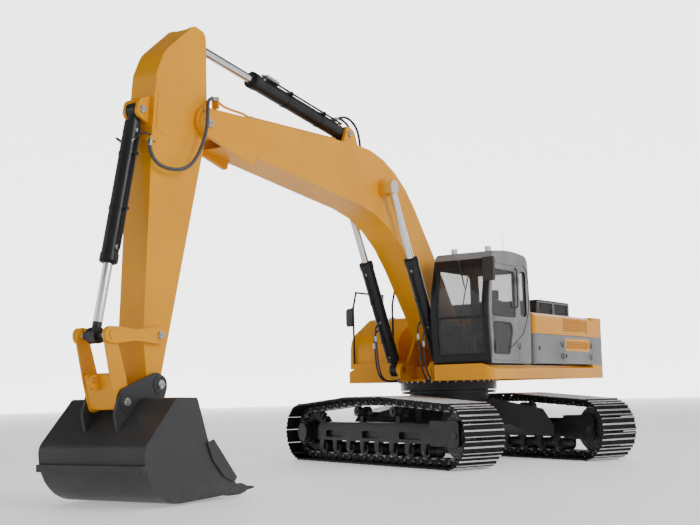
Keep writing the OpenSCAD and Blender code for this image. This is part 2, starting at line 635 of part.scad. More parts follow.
// Columns: x, z, corner radius
door_outline = [[door_x, door_low, 40], [door_front, door_low, 60], [door_front + 84, deck_z + 860, 1300],
    [door_front - 60, door_high, 90], [door_x, door_high, 60]];
module cab_door_hole() plate(rounded(inset(door_outline, -door_gap)), cab_out - cab_wall - 1, cab_out + 1);
module upper_half(z) box(-400, 2200, 0, 2000, z, z + 2000);
module cab_frame() color([0.2, 0.2, 0.21]) {
    difference() {
        cab_shell();
        cab_windows();
        cab_door_hole();
        upper_half(roof_z);
    }
    cab_hinges() hinge_pin();
}
module cab_roof() color([0.5, 0.5, 0.5]) difference() {
    intersection() {
        cab_shell();
        upper_half(roof_z);
    }
    box(520, 1080, cab_y + 200, cab_out - 200, cab_top - 200, cab_top + 200);
}
module cab_glazing() color([0.3, 0.36, 0.38, 0.5]) {
    intersection() {
        difference() {
            plate(rounded(inset(cab_profile, 20)), cab_y + 20, cab_out - 20);
            plate(rounded(inset(cab_profile, 20 + glass_t)), cab_y + 20 + glass_t, cab_out - 20 - glass_t);
        }
        cab_windows();
    }
    box(520, 1080, cab_y + 200, cab_out - 200, cab_top - 40, cab_top - 40 + glass_t);
}
module door_windows() {
    plate(rounded([[door_x + 70, deck_z + 690, 60], [door_front - 5, deck_z + 690, 60], [door_front - 85, door_high - 80, 70],
        [door_x + 70, door_high - 80, 60]]), cab_out - cab_wall - 1, cab_out + 1);
    plate(rounded([[door_x + 330, deck_z + 130, 80], [door_front - 70, deck_z + 130, 60], [door_front - 25, deck_z + 620, 60],
        [door_x + 150, deck_z + 620, 120]]), cab_out - cab_wall - 1, cab_out + 1);
}
cab_hinge_levels = [deck_z + 250, deck_z + 1250];
module cab_hinges() for (z = cab_hinge_levels)
    translate([door_x - door_gap / 2, cab_out + knuckle_out, z]) children();
module cab_door() color([0.22, 0.22, 0.23]) {
    cab_hinges() hinge_knuckle();
    difference() {
        plate(rounded(door_outline), cab_out - cab_wall, cab_out);
        door_windows();
    }
    box(door_front - 150, door_front - 40, cab_out, cab_out + 26, deck_z + 640, deck_z + 672);
}
module door_glass() color([0.3, 0.36, 0.38, 0.5]) intersection() {
    plate(rounded(door_outline), cab_out - 20 - glass_t, cab_out - 20);
    door_windows();
}
floor_z = deck_z + cab_wall;
seat_x = [420, 920];
seat_mid = (cab_y + cab_out) / 2;
console_w = 110;
// Console's middle from the seat's middle, and half the seat's width
console_y = (cab_out - cab_y) / 2 - cab_wall - console_w / 2 - 50;
seat_half = console_y - console_w / 2 - 12;
module seat() color([0.12, 0.12, 0.12]) {
    box(500, 840, seat_mid - seat_half + 80, seat_mid + seat_half - 80, floor_z, floor_z + 260);
    plate(rounded([[seat_x[0], floor_z + 260, 20], [seat_x[1], floor_z + 260, 50], [seat_x[1], floor_z + 390, 50],
        [seat_x[0] + 140, floor_z + 380, 30], [seat_x[0] + 40, floor_z + 1000, 50], [seat_x[0] - 80, floor_z + 1000, 50]]),
        seat_mid - seat_half, seat_mid + seat_half);
}
module controls() color([0.14, 0.14, 0.14]) {
    for (s = [-1, 1]) {
        y = seat_mid + s * console_y;
        box(480, 960, y - console_w / 2, y + console_w / 2, floor_z, floor_z + 520);
        translate([890, y, floor_z + 520]) cylinder(r = 16, h = 150);
        translate([890, y, floor_z + 670]) cylinder(r = 30, h = 90);
        translate([1180, seat_mid + s * 70, floor_z]) cylinder(r = 12, h = 560);
        translate([1180, seat_mid + s * 70, floor_z + 560]) cylinder(r = 20, h = 120);
        box(1150, 1330, seat_mid + s * 130 - 50, seat_mid + s * 130 + 50, floor_z, floor_z + 40);
    }
}

// Rails, mirrors and lamps
rail_r = 17;
module rail(points) for (i = [0:len(points) - 2]) let (d = points[i + 1] - points[i])
    translate(points[i]) {
        rotate([0, acos(d.z / norm(d)), atan2(d.y, d.x)]) cylinder(r = rail_r, h = norm(d));
        if (i > 0) sphere(r = rail_r + 4);
    }
rail_y = -panel_y + 40;
// Columns: x, z of a rail from the step, over the tank, down to its top
rail_line = [[right_front - 51, deck_z + step_h], [right_front - 51, tank_top + 163], [right_front - 146, tank_top + 423],
    [tank_rear + 460, tank_top + 423], [tank_rear + 460, tank_top]];
module handrails() color([0.08, 0.08, 0.08])
    for (y = [rail_y + 60, -cab_y - 90]) rail([for (p = rail_line) [p.x, y, p.y]]);
mirror_z = cab_top - 185;
mirror_x = cab_front + 110;
module mirrors() color([0.1, 0.1, 0.1]) {
    rail([[cab_front - 200, cab_out + rail_r, mirror_z], [mirror_x, cab_out + 90, mirror_z]]);
    plate(rounded([[mirror_x - 30, mirror_z - 330, 25], [mirror_x + 40, mirror_z - 330, 25], [mirror_x + 30, mirror_z + 20, 25],
        [mirror_x - 30, mirror_z + 20, 25]]), cab_out - 20, cab_out + 150);
}
lamp_x = cab_front - 420;
roof_slope = atan2(cab_profile[4].y - cab_profile[3].y, cab_profile[4].x - cab_profile[3].x) - 180;
function roof_top(x) = cab_profile[4].y + (x - cab_profile[4].x) * tan(roof_slope);
module work_lamps() color([0.75, 0.75, 0.72])
    for (y = [cab_y + 190, cab_out - 190])
        translate([lamp_x, y, roof_top(lamp_x)]) rotate([0, -roof_slope, 0]) translate([0, 0, fit])
            cylinder(r = 50, h = 80);

// Boom: hollow box beam with a fork at its tip
boom_half = boom_w / 2;
// Columns: along the line from foot to tip, across it, corner radius
boom_outline = [[-210, -200, 170], [330, -225, 200], [boom_length - 4189, 900, 2150], [boom_length + 195, -195, 150],
    [boom_length + 195, 135, 150], [boom_length - 3887, 1861, 2000], [600, 731, 500], [-210, 190, 160]];
fork_depth = 460;
fork_slope = 400;
fork_half = dipper_w / 2 + side_gap;
tip_boss_r = 165;
lug_half = 62;
arm_lug_in = lug_half + hinge_gap;
arm_lug_out = arm_lug_in + 45;
module boom() color([0.93, 0.68, 0.05]) frame_at(boom_foot, boom_angle) difference() {
    union() {
        difference() {
            plate(rounded(boom_outline), -boom_half, boom_half);
            plate(rounded(inset(boom_outline, boom_plate)), -boom_half + boom_plate, boom_half - boom_plate);
        }
        bar_y([0, 0], 170, -boom_half, boom_half);
        both_bars([boom_length, 0], tip_boss_r, fork_half, boom_half + 32);
        both_bars(lift_eye_at, 125, boom_half - boom_plate, lift_y - lift_eye_half - side_gap);
        both_plates(rounded([[arm_foot_at.x - 330, 1500, 10], [arm_foot_at.x + 110, 1310, 10], [arm_foot_at.x + 95, arm_foot_at.y + 95, 85],
            [arm_foot_at.x - 95, arm_foot_at.y + 95, 85]]), arm_lug_in, arm_lug_out);
        both_plates(rounded([[boom_length - fork_depth - 500, -30, 40], [boom_length - 40, -130, 40], [boom_length - 40, 150, 40],
            [boom_length - fork_depth - 500, 420, 40]]), fork_half, boom_half);
    }
    plate([[boom_length - fork_depth, -600], [boom_length + 500, -600], [boom_length + 500, 800],
        [boom_length - fork_depth - fork_slope, 800], [boom_length - fork_depth, 100]], -fork_half, fork_half);
    bar_y([boom_length, 0], pin_r + fit, -house_y, house_y);
    bar_y([0, 0], pin_r + fit, -house_y, house_y);
    bar_y(arm_foot_at, pin_r - 5 + fit, -house_y, house_y);
}
module boom_pins() color([0.7, 0.7, 0.68]) frame_at(boom_foot, boom_angle) {
    bar_y([boom_length, 0], pin_r, -boom_half - 32 - pin_head, boom_half + 32 + pin_head);
    bar_y(arm_foot_at, pin_r - 5, -arm_lug_out - pin_head, arm_lug_out + pin_head);
}
// Pipes lie in blocks on the sloping top plate
pipe_r = 20;
pipe_y = [-150, -95, 95, 150];
pipe_x = [boom_length - 2555, boom_length - 805];
pipe_lift = pipe_r + 12;
top_slope = atan2(boom_outline[5].y - boom_outline[4].y, boom_outline[5].x - boom_outline[4].x) - 180;
function boom_top(x) = boom_outline[4].y + (x - boom_outline[4].x) * tan(top_slope);
function pipe_point(x, y) = [x, y, boom_top(x) + pipe_lift / cos(top_slope)];
block_x = [pipe_x[0] + 200, pipe_x[0] + 850, pipe_x[0] + 1500];
module on_top_plate(x) translate([x, 0, boom_top(x)]) rotate([0, -top_slope, 0]) translate([0, 0, fit]) children();
module boom_pipes() color([0.9, 0.65, 0.05]) frame_at(boom_foot, boom_angle) {
    for (y = pipe_y) rail_between(pipe_point(pipe_x[0], y), pipe_point(pipe_x[1], y), pipe_r);
    for (x = block_x, s = [-1, 1])
        on_top_plate(x) box(-35, 35, s > 0 ? 65 : -180, s > 0 ? 180 : -65, 0, pipe_lift);
    for (s = [-1, 1])
        on_top_plate(hose_port_x) box(0, port_t, s > 0 ? fork_half + 6 : -hose_y - 30, s > 0 ? hose_y + 30 : -fork_half - 6, 0, port_h);
}
module rail_between(a, b, r) let (d = b - a) translate(a)
    rotate([0, acos(d.z / norm(d)), atan2(d.y, d.x)]) cylinder(r = r, h = norm(d));

neck = 60;
gland = 90;
// Hydraulic cylinder: barrel and rod share a frame, foot eye at the origin, +X to the rod eye
module barrel(length, r, rod, eye_r, eye_half, pin, y) translate([0, y, 0]) difference() {
    union() {
        translate([eye_r + neck, 0, 0]) rotate([0, 90, 0]) cylinder(r = r, h = length - eye_r - neck);
        translate([length - gland, 0, 0]) rotate([0, 90, 0]) cylinder(r = r + 9, h = gland);
        rotate([0, 90, 0]) cylinder(r = eye_half - 2, h = eye_r + neck + 20);
        bar_y([0, 0], eye_r, -eye_half, eye_half);
    }
    translate([eye_r + neck + 40, 0, 0]) rotate([0, 90, 0]) cylinder(r = rod + fit, h = length);
    bar_y([0, 0], pin + fit, -eye_half - 1, eye_half + 1);
}
module piston_rod(reach, length, rod, eye_r, eye_half, y) translate([reach, y, 0]) {
    translate([-length, 0, 0]) rotate([0, 90, 0]) cylinder(r = rod, h = length - 20);
    bar_y([0, 0], eye_r, -eye_half, eye_half);
}
function reach(a, b) = norm(b - a);
function aim(a, b) = atan2(b.y - a.y, b.x - a.x);
// Rod that shows at rest, and how much shorter a rod is than its barrel
lift_rod_shown = 1135;
arm_rod_shown = 1255;
crowd_rod_shown = 818;
rod_short = 50;
lift_barrel_l = reach(lift_foot, lift_eye) - lift_rod_shown;
arm_barrel_l = reach(arm_foot, arm_eye) - arm_rod_shown;
crowd_barrel_l = reach(crowd_foot, link_top) - crowd_rod_shown;
lift_eye_r = 105;
arm_eye_r = 110;
crowd_eye_r = 88;
module lift_barrels() color([0.12, 0.12, 0.12]) frame_at(lift_foot, aim(lift_foot, lift_eye))
    for (s = [-1, 1]) barrel(lift_barrel_l, lift_barrel_r, lift_rod_r, lift_eye_r, lift_eye_half, pin_r, s * lift_y);
module lift_rods() color([0.8, 0.8, 0.8]) frame_at(lift_foot, aim(lift_foot, lift_eye))
    for (s = [-1, 1]) piston_rod(reach(lift_foot, lift_eye), lift_barrel_l - rod_short, lift_rod_r, lift_eye_r, lift_eye_half, s * lift_y);
module arm_barrel() color([0.12, 0.12, 0.12]) frame_at(arm_foot, aim(arm_foot, arm_eye))
    barrel(arm_barrel_l, arm_barrel_r, arm_rod_r, arm_eye_r, lug_half, pin_r - 5, 0);
module arm_rod() color([0.8, 0.8, 0.8]) frame_at(arm_foot, aim(arm_foot, arm_eye))
    piston_rod(reach(arm_foot, arm_eye), arm_barrel_l - rod_short, arm_rod_r, arm_eye_r, lug_half, 0);
module crowd_barrel() color([0.12, 0.12, 0.12]) frame_at(crowd_foot, aim(crowd_foot, link_top))
    barrel(crowd_barrel_l, crowd_barrel_r, crowd_rod_r, crowd_eye_r, lug_half, pin_r - 10, 0);
module crowd_rod() color([0.8, 0.8, 0.8]) frame_at(crowd_foot, aim(crowd_foot, link_top)) {
    piston_rod(reach(crowd_foot, link_top), crowd_barrel_l - rod_short, crowd_rod_r, crowd_eye_r, lug_half, 0);
    bar_y([reach(crowd_foot, link_top), 0], pin_r - 8, -link_in + 5, link_in - 5);
}

// Dipper: hollow box, open at its head for the cylinder's rod
dipper_half = dipper_w / 2;
// Columns: along the line from boom tip to bucket pin, across it, corner radius
dipper_outline = [[-1090, 260, 100], [30, -62, 900], [dipper_length + 130, -62, 60],
    [dipper_length + 112, 92, 80], [dipper_length - 430, 320, 300], [420, 815, 350], [-220, 915, 260], [-520, 860, 300], [-1080, 480, 110]];
head_slot = lug_half + hinge_gap;
slot_to = -330;
module dipper() color([0.93, 0.68, 0.05]) frame_at(boom_tip, dipper_angle) difference() {
    union() {
        difference() {
            union() {
                plate(rounded(dipper_outline), -dipper_half, dipper_half);
                bar_y([0, 0], 190, -dipper_half, dipper_half);
                bar_y([dipper_length, 0], 125, -dipper_half, dipper_half);
            }
            plate(rounded(inset(dipper_outline, dipper_plate)), -dipper_half + dipper_plate, dipper_half - dipper_plate);
            plate([[-1400, -200], [slot_to, -200], [slot_to, 300], [-700, 900], [-1400, 900]], -dipper_half + 60, dipper_half - 60);
        }
        bar_y([0, 0], 120, -dipper_half, dipper_half);
        bar_y([dipper_length, 0], 110, -dipper_half, dipper_half);
        both_bars(arm_eye_at, 120, head_slot, dipper_half);
        bar_y(guide_at, 80, -link_out, link_out);
        both_bars([dipper_length, 0], 105, dipper_half, link_out);
        for (s = [-1, 1])
            box(hose_end_at.x, hose_end_at.x + port_t, s > 0 ? 120 : -230, s > 0 ? 230 : -120, 740, hose_end_at.y + 40);
        both_plates(rounded([[20, 840, 10], [380, 790, 10], [crowd_foot_at.x + 90, crowd_foot_at.y + 75, 80],
            [crowd_foot_at.x - 90, crowd_foot_at.y + 75, 80]]),
            arm_lug_in, arm_lug_out);
    }
    bar_y([0, 0], pin_r + fit, -house_y, house_y);
    bar_y([dipper_length, 0], pin_r - 5 + fit, -house_y, house_y);
    bar_y(guide_at, pin_r - 10 + fit, -house_y, house_y);
    bar_y(crowd_foot_at, pin_r - 10 + fit, -house_y, house_y);
}
// Links between dipper and bucket lie side by side across the machine
link_t = 22;
link_in = dipper_half + side_gap;
link_out = link_in + link_t;
guide_in = link_out + 5;
guide_out = guide_in + 28;
ear_in = link_out + 5;
ear_out = ear_in + 34;
module dipper_pins() color([0.7, 0.7, 0.68]) frame_at(boom_tip, dipper_angle) {
    bar_y(guide_at, pin_r - 10, -guide_out - pin_head, guide_out + pin_head);
    bar_y(crowd_foot_at, pin_r - 10, -arm_lug_out - pin_head, arm_lug_out + pin_head);
}
module guide_links() color([0.93, 0.68, 0.05]) difference() {
    frame_at(guide_pivot, aim(guide_pivot, link_top)) {
        both_plates(rounded([[-90, -88, 80], [90, -88, 60], [guide_length / 2, -60, 400], [guide_length - 90, -88, 60],
            [guide_length + 90, -88, 80], [guide_length + 90, 88, 80], [guide_length - 90, 88, 60], [guide_length / 2, 60, 400],
            [90, 88, 60], [-90, 88, 80]]), guide_in, guide_out);
        both_bars([guide_length, 0], pin_r - 8, guide_out, guide_out + pin_head);
    }
    bar_y(guide_pivot, pin_r - 10 + fit, -house_y, house_y);
}
// H link: two cheeks, a cross tube, a web on the side away from the dipper, and a lifting eye
lift_lug = [290, -163];
lift_lug_half = 25;
lift_bore_r = 35;
module h_link() color([0.93, 0.68, 0.05]) frame_at(bucket_link, aim(bucket_link, link_top)) difference() {
    union() {
        both_plates(rounded([[-95, -100, 80], [250, -110, 200], [link_length + 90, -85, 80], [link_length + 90, 85, 80],
            [250, 110, 200], [-95, 100, 80]]), link_in, link_out);
        plate(rounded([[-60, -95, 30], [340, -95, 30], [340, -50, 20], [200, 20, 60], [-60, 20, 20]]), -link_in - 1, link_in + 1);
        bar_y([0, 0], 75, -link_in - 1, link_in + 1);
        plate(rounded([[150, -60, 0], [330, -60, 0], [lift_lug.x + 68, lift_lug.y - 62, 60], [lift_lug.x - 72, lift_lug.y - 62, 60]]),
            -lift_lug_half, lift_lug_half);
    }
    bar_y([0, 0], pin_r - 7 + fit, -house_y, house_y);
    bar_y(lift_lug, lift_bore_r, -house_y, house_y);
}

// Hose loops from the boom's pipes to the bucket cylinder, past the boom tip
hose_r = 22;
hose_sides = 10;
hose_y = 262;
hose_port_x = boom_length - 75;
port_t = 30;
port_h = 140;
hose_end_at = [560, 815];
hose_route = [[6188, 262, 4631], [6248, 262, 4629], [6325, 275, 4597], [6378, 300, 4535], [6408, 320, 4450], [6428, 332, 4350],
    [6452, 338, 4240], [6490, 340, 4120], [6545, 340, 4000], [6612, 340, 3890], [6695, 338, 3790], [6800, 332, 3710],
    [6935, 318, 3665], [7082, 292, 3660], [7182, 265, 3687], [7255, 236, 3760], [7282, 212, 3860], [7274, 201, 3915],
    [7258, 200, 3971]];
function ring(route, i) =
    let (n = len(route), t = unit(route[min(i + 1, n - 1)] - route[max(i - 1, 0)]))
    let (a = unit(cross(t, [0, 1, 0])), b = cross(a, t))
    [for (k = [0:hose_sides - 1]) route[i] + hose_r * (a * cos(360 * k / hose_sides) + b * sin(360 * k / hose_sides))];
module tube(route) let (n = len(route), m = hose_sides)
    polyhedron([for (i = [0:n - 1]) each ring(route, i)],
        concat([[for (k = [0:m - 1]) k]], [[for (k = [0:m - 1]) (n - 1) * m + m - 1 - k]],
            [for (i = [0:n - 2], k = [0:m - 1]) each
                [[i * m + k, (i + 1) * m + (k + 1) % m, i * m + (k + 1) % m],
                [i * m + k, (i + 1) * m + k, (i + 1) * m + (k + 1) % m]]]));
module hose_left() color([0.5, 0.5, 0.5]) tube(hose_route);
module hose_right() color([0.5, 0.5, 0.5]) mirror([0, 1, 0]) tube(hose_route);

// Bucket: rolled sheet between side plates, hung on two ears
bucket_half = bucket_w / 2;
// Columns: x, z from the bucket pin, corner radius
bucket_outline = [[-720, -1205, 8], [800, -1250, 515], [800, -640, 150], [310, -140, 70], [-20, -150, 40],
    [-200, -640, 350], [-690, -1130, 10]];
// The cavity runs out past the mouth, along the bottom sheet and the top sheet
mouth_reach = 150;
bucket_inner = inset(bucket_outline, bucket_t);
function past(a, b) = let (p = flat(a) + unit(flat(a) - flat(b)) * mouth_reach) [p.x, p.y, 0];
bucket_cavity = [past(bucket_inner[0], bucket_inner[1]), bucket_inner[1], bucket_inner[2], bucket_inner[3],
    past(bucket_inner[4], bucket_inner[3])];
ear_outline = [[-70, -155, 5], [312, -158, 5], [640, -490, 5], [690, -300, 100], [600, -50, 110], [40, 140, 130], [-145, 40, 120]];
module bucket() color([0.13, 0.13, 0.14]) translate([bucket_pivot.x, 0, bucket_pivot.y]) difference() {
    union() {
        difference() {
            plate(rounded(bucket_outline), -bucket_half, bucket_half);
            plate(rounded(bucket_cavity), -bucket_half + bucket_t, bucket_half - bucket_t);
        }
        both_plates(rounded(ear_outline), ear_in, ear_out);
        both_bars([0, 0], 105, ear_in, ear_out + 8);
        both_bars(bucket_link_at, 98, ear_in, ear_out + 8);
        box(780, 830, -bucket_half, bucket_half, -900, -820);
    }
    bar_y([0, 0], pin_r - 5 + fit, -house_y, house_y);
    bar_y(bucket_link_at, pin_r - 7 + fit, -house_y, house_y);
}
tooth_w = 110;
tip_w = 78;
// Adapter that hooks under the lip, and the point on its nose
seat_gap = 0.3;
tooth_adapter = [[-560, -1210 - seat_gap], [-722, -1205 - seat_gap], [-720 - seat_gap, -1202], [-690 - 2 * seat_gap, -1128],
    [-700, -1104], [-790, -1104], [-870, -1132], [-870, -1204], [-760, -1231], [-560, -1229]];
tooth_point = [[-870, -1198], [-870, -1138], [-1035, -1158], [-1035, -1178]];
module bucket_teeth() color([0.2, 0.2, 0.2]) translate([bucket_pivot.x, 0, bucket_pivot.y]) {
    for (i = [0:tooth_count - 1]) {
        y = -bucket_half + 80 + (bucket_w - 160) * i / (tooth_count - 1);
        plate(tooth_adapter, y - tooth_w / 2, y + tooth_w / 2);
        plate(tooth_point, y - tip_w / 2, y + tip_w / 2);
    }
    both_plates([[-150, -640], [-262, -600], [-655, -1030], [-600, -1080], [-430, -1010], [-250, -830]], bucket_half, bucket_half + 22);
}
module bucket_pins() color([0.75, 0.75, 0.73]) translate([bucket_pivot.x, 0, bucket_pivot.y]) {
    bar_y([0, 0], pin_r - 5, -ear_out - 8 - pin_head, ear_out + 8 + pin_head);
    bar_y(bucket_link_at, pin_r - 7, -ear_out - 8 - pin_head, ear_out + 8 + pin_head);
}

car_body();
track_frame_left();
track_frame_right();
track_left();
track_right();
idlers();
sprockets();
hub_drives();
bottom_rollers();
carrier_rollers();
slew_ring_lower();
revolving_frame();
slew_ring_upper();
counterweight();
engine_block();
hood();
house_posts();
fuel_tank();
cab_frame();
cab_roof();
cab_glazing();
seat();
controls();
handrails();
mirrors();
work_lamps();
upper_pins();
cab_door();
door_glass();
door_front_left();
door_rear_left();
door_right();
engine_cover();
boom();
boom_pins();
boom_pipes();
lift_barrels();
lift_rods();
dipper();
dipper_pins();
arm_barrel();
arm_rod();
bucket();
bucket_teeth();
bucket_pins();
guide_links();
h_link();
crowd_barrel();
crowd_rod();
hose_left();
hose_right();
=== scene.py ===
# %% [markdown]
# A crawler excavator is dressed here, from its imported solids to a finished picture.
# The solids carry every size. This lesson adds what a maker adds last: paint, hoses, bolts, glass.
# Each cell makes one thing, rides it on the body that carries it, and prints what it made.

# %% Load the frame
import json
import math
import bmesh
import bpy
import numpy as np
from mathutils import Matrix


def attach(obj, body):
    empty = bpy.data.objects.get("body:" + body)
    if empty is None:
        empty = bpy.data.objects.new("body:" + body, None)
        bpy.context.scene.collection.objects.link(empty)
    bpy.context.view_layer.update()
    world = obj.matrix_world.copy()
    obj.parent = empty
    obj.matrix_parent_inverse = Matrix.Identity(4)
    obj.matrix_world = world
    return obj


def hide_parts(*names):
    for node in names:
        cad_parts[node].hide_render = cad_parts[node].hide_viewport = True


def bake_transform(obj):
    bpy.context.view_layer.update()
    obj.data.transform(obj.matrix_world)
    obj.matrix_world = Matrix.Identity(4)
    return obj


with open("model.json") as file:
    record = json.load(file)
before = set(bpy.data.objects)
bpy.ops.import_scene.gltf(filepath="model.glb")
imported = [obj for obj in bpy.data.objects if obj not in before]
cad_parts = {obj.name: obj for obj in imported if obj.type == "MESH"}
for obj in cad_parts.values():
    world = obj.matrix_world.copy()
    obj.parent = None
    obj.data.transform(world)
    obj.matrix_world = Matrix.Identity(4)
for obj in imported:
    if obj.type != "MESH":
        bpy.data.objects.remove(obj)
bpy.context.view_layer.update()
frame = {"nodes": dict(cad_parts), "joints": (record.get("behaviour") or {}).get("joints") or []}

pivot = {j["name"]: np.array(j["pos_m"]) for j in frame["joints"] if "pos_m" in j}
stroke = {j["name"]: np.array(j["axis"], float) for j in frame["joints"] if j["type"] == "slide"}
node = frame["nodes"]

# %% [markdown]
# The camera comes first, because everything later is judged through it. The photograph's lines
# were solved once for the place, the three turns and the lens. Building the matrix from a forward,
# a right and an up direction is safer than Euler angles: each column can be checked by eye.

# %% Camera at the photograph's angle
camera_at = (16.6092, 8.7584, 1.1365)
yaw, pitch, roll = np.radians([-147.4488, 6.4106, -1.3852])
lens_mm, sensor_mm = 58.864, 36.0
forward = np.array([np.cos(yaw) * np.cos(pitch), np.sin(yaw) * np.cos(pitch), np.sin(pitch)])
level = np.array([np.sin(yaw), -np.cos(yaw), 0.0])
above = np.cross(level, forward)
right = level * np.cos(roll) + above * np.sin(roll)
upward = above * np.cos(roll) - level * np.sin(roll)
eye = bpy.data.objects.new("camera", bpy.data.cameras.new("camera"))
eye.data.lens, eye.data.sensor_width, eye.data.sensor_fit = lens_mm, sensor_mm, "HORIZONTAL"
eye.data.clip_end = 200
turn = np.column_stack([right, upward, -forward])
eye.matrix_world = Matrix([[*turn[k], camera_at[k]] for k in range(3)] + [[0, 0, 0, 1]])
bpy.context.scene.collection.objects.link(eye)
bpy.context.scene.camera = eye
print("lens", lens_mm, "looking", np.round(forward, 3))

# %% [markdown]
# A surface is a grid of points worked out as one array. These helpers turn such arrays into meshes.
# A Place holds a piece's own axes, so a cylinder's pipes can be laid out flat and then set in the frame.

# %% Surfaces as arrays
class Place:
    """Own axes of a piece: point = origin + a * along + b * across + c * up."""
    def __init__(self, origin, along=(1, 0, 0), up=(0, 0, 1)):
        self.origin = np.asarray(origin, float)
        self.along = np.asarray(along, float) / np.linalg.norm(along)
        side = np.cross(up, self.along)
        self.across = side / np.linalg.norm(side)
        self.up = np.cross(self.along, self.across)
    def aim(self, direction):
        """The place's own direction in the frame's axes."""
        return np.asarray(direction, float) @ np.array([self.along, self.across, self.up])
    def __call__(self, points):
        return self.origin + self.aim(points)
    def moved(self, point):
        """The same axes at another of its points."""
        return Place(self(point), self.along, self.up)

def tilted(origin, degrees):
    """Place whose +X is turned up by an angle in the X-Z plane."""
    a = math.radians(degrees)
    return Place(origin, (math.cos(a), 0, math.sin(a)), (-math.sin(a), 0, math.cos(a)))

def grid_quads(m, n, loop_m=False, loop_n=False):
    """Faces of an m by n grid of points, closed in either direction."""
    i, j = np.meshgrid(np.arange(m if loop_m else m - 1), np.arange(n if loop_n else n - 1), indexing="ij")
    a, b, c, d = ((i + p) % m * n + (j + q) % n for p, q in ((0, 0), (1, 0), (1, 1), (0, 1)))
    return np.stack([a, b, c, d], -1).reshape(-1, 4)

class Shape:
    """Points and faces of one piece, grown surface by surface."""
    def __init__(self):
        self.points, self.faces, self.count = [], [], 0
    def add(self, points, faces):
        points = np.asarray(points, float).reshape(-1, 3)
        rows = faces.tolist() if hasattr(faces, "tolist") else faces
        self.faces += [[k + self.count for k in row] for row in rows]
        self.points.append(points)
        self.count += len(points)
        return self
    def rings(self, points, close=False, caps=True):
        """Skin over rings of points with shape (rings, sides, 3), with flat ends or joined to a loop."""
        m, n = points.shape[:2]
        quads = grid_quads(m, n, close, True).tolist()
        if caps and not close:
            quads += [list(range(n)), list(range(m * n - 1, (m - 1) * n - 1, -1))]
        return self.add(points, quads)

def ring(sides, start=0.0):
    """Unit circle as (sides, 2)."""
    a = start + np.arange(sides) * 2 * math.pi / sides
    return np.stack([np.cos(a), np.sin(a)], -1)

def frames_along(path):
    """Two cross directions at each point, turned as little as possible from one to the next."""
    t = np.gradient(path, axis=0)
    t /= np.linalg.norm(t, axis=1, keepdims=True)
    seed = np.eye(3)[np.argmin(np.abs(t[0]))]
    u = [np.cross(t[0], seed)]
    for k in range(1, len(path)):
        u.append(u[-1] - t[k] * (u[-1] @ t[k]))
        u[-1] /= np.linalg.norm(u[-1])
    u = np.array(u) / np.linalg.norm(u, axis=1, keepdims=True)
    return u, np.cross(t, u)

def smooth_path(points, steps=8):
    """Catmull-Rom curve through the points."""
    p = np.asarray(points, float)
    q = np.vstack([2 * p[0] - p[1], p, 2 * p[-1] - p[-2]])
    s = np.linspace(0, 1, steps, endpoint=False)[None, :, None]
    a, b, c, d = (q[k:len(q) - 3 + k, None] for k in range(4))
    curve = 0.5 * (2 * b + (c - a) * s + (2 * a - 5 * b + 4 * c - d) * s ** 2
                   + (3 * b - a - 3 * c + d) * s ** 3)
    return np.vstack([curve.reshape(-1, 3), p[-1]])

def tube(shape, path, radius, sides=12):
    """Round tube: centre + radius * (cos * u + sin * v) at each point of the path."""
    path = np.asarray(path, float)
    u, v = frames_along(path)
    c = ring(sides)
    r = np.broadcast_to(np.asarray(radius, float), (len(path),))[:, None, None]
    return shape.rings(path[:, None] + r * (c[None, :, :1] * u[:, None] + c[None, :, 1:] * v[:, None]))

def lathe(shape, place, profile, sides=24, close=False):
    """Turned shape about the place's +X: profile rows are distance and radius; a closed one is a hoop."""
    p, c = np.asarray(profile, float), ring(sides)
    along, radius = np.broadcast_to(p[:, None, 0], (len(p), sides)), p[:, None, 1]
    return shape.rings(place(np.stack([along, radius * c[:, 0], radius * c[:, 1]], -1)), close)

def slab(shape, place, outline, low, high):
    """Outline in the place's X-Z plane, as thick as low to high across it."""
    o = np.asarray(outline, float)
    flat = np.stack([np.stack([o[:, 0], np.full(len(o), y), o[:, 1]], -1) for y in (low, high)])
    return shape.rings(place(flat))

def block(shape, place, low, high):
    """Box between two corners in the place's axes."""
    (a, y0, c), (b, y1, d) = low, high
    return slab(shape, place, [(a, c), (b, c), (b, d), (a, d)], y0, y1)

def nut(shape, place, at, radius, height):
    """Hexagon head that stands along the place's +Y."""
    at = np.asarray(at, float)
    c = ring(6) * radius
    return slab(shape, Place(place(at), place.along, place.up), c, 0, height)

both_sides = ((1, "left"), (-1, "right"))
def bevelled(made, width, least_deg):
    """Round the edges whose faces meet at more than an angle, and keep the flats flat."""
    edge = made.modifiers.new("edge", "BEVEL")
    edge.width, edge.segments = width, 2
    edge.limit_method, edge.angle_limit = "ANGLE", math.radians(least_deg)
    return made.modifiers.new("shade", "WEIGHTED_NORMAL")

def lay_out(name, shape, body, finish, bevel=0.0, sharp=40):
    """Make the mesh with its faces outwards, give it its finish and let it ride on a body."""
    mesh = bpy.data.meshes.new(name)
    mesh.from_pydata(np.vstack(shape.points).tolist(), [], shape.faces)
    grown = bmesh.new()
    grown.from_mesh(mesh)
    bmesh.ops.recalc_face_normals(grown, faces=grown.faces)
    grown.to_mesh(mesh)
    grown.free()
    mesh.polygons.foreach_set("use_smooth", np.ones(len(mesh.polygons), bool))
    mesh.set_sharp_from_angle(angle=math.radians(sharp))
    mesh.materials.append(finish)
    made = bpy.data.objects.new(name, mesh)
    bpy.context.scene.collection.objects.link(made)
    if bevel:
        bevelled(made, bevel, 35).keep_sharp = True
    if body:
        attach(made, body)
    print(name, len(mesh.polygons), "faces on", body)
    return made

# %% [markdown]
# Finishes are written as expressions. A Value wraps a socket, so `1 - mask` or `noise * 0.2 + 0.4`
# adds the Math nodes it needs. Everything else comes from one method that makes any node.

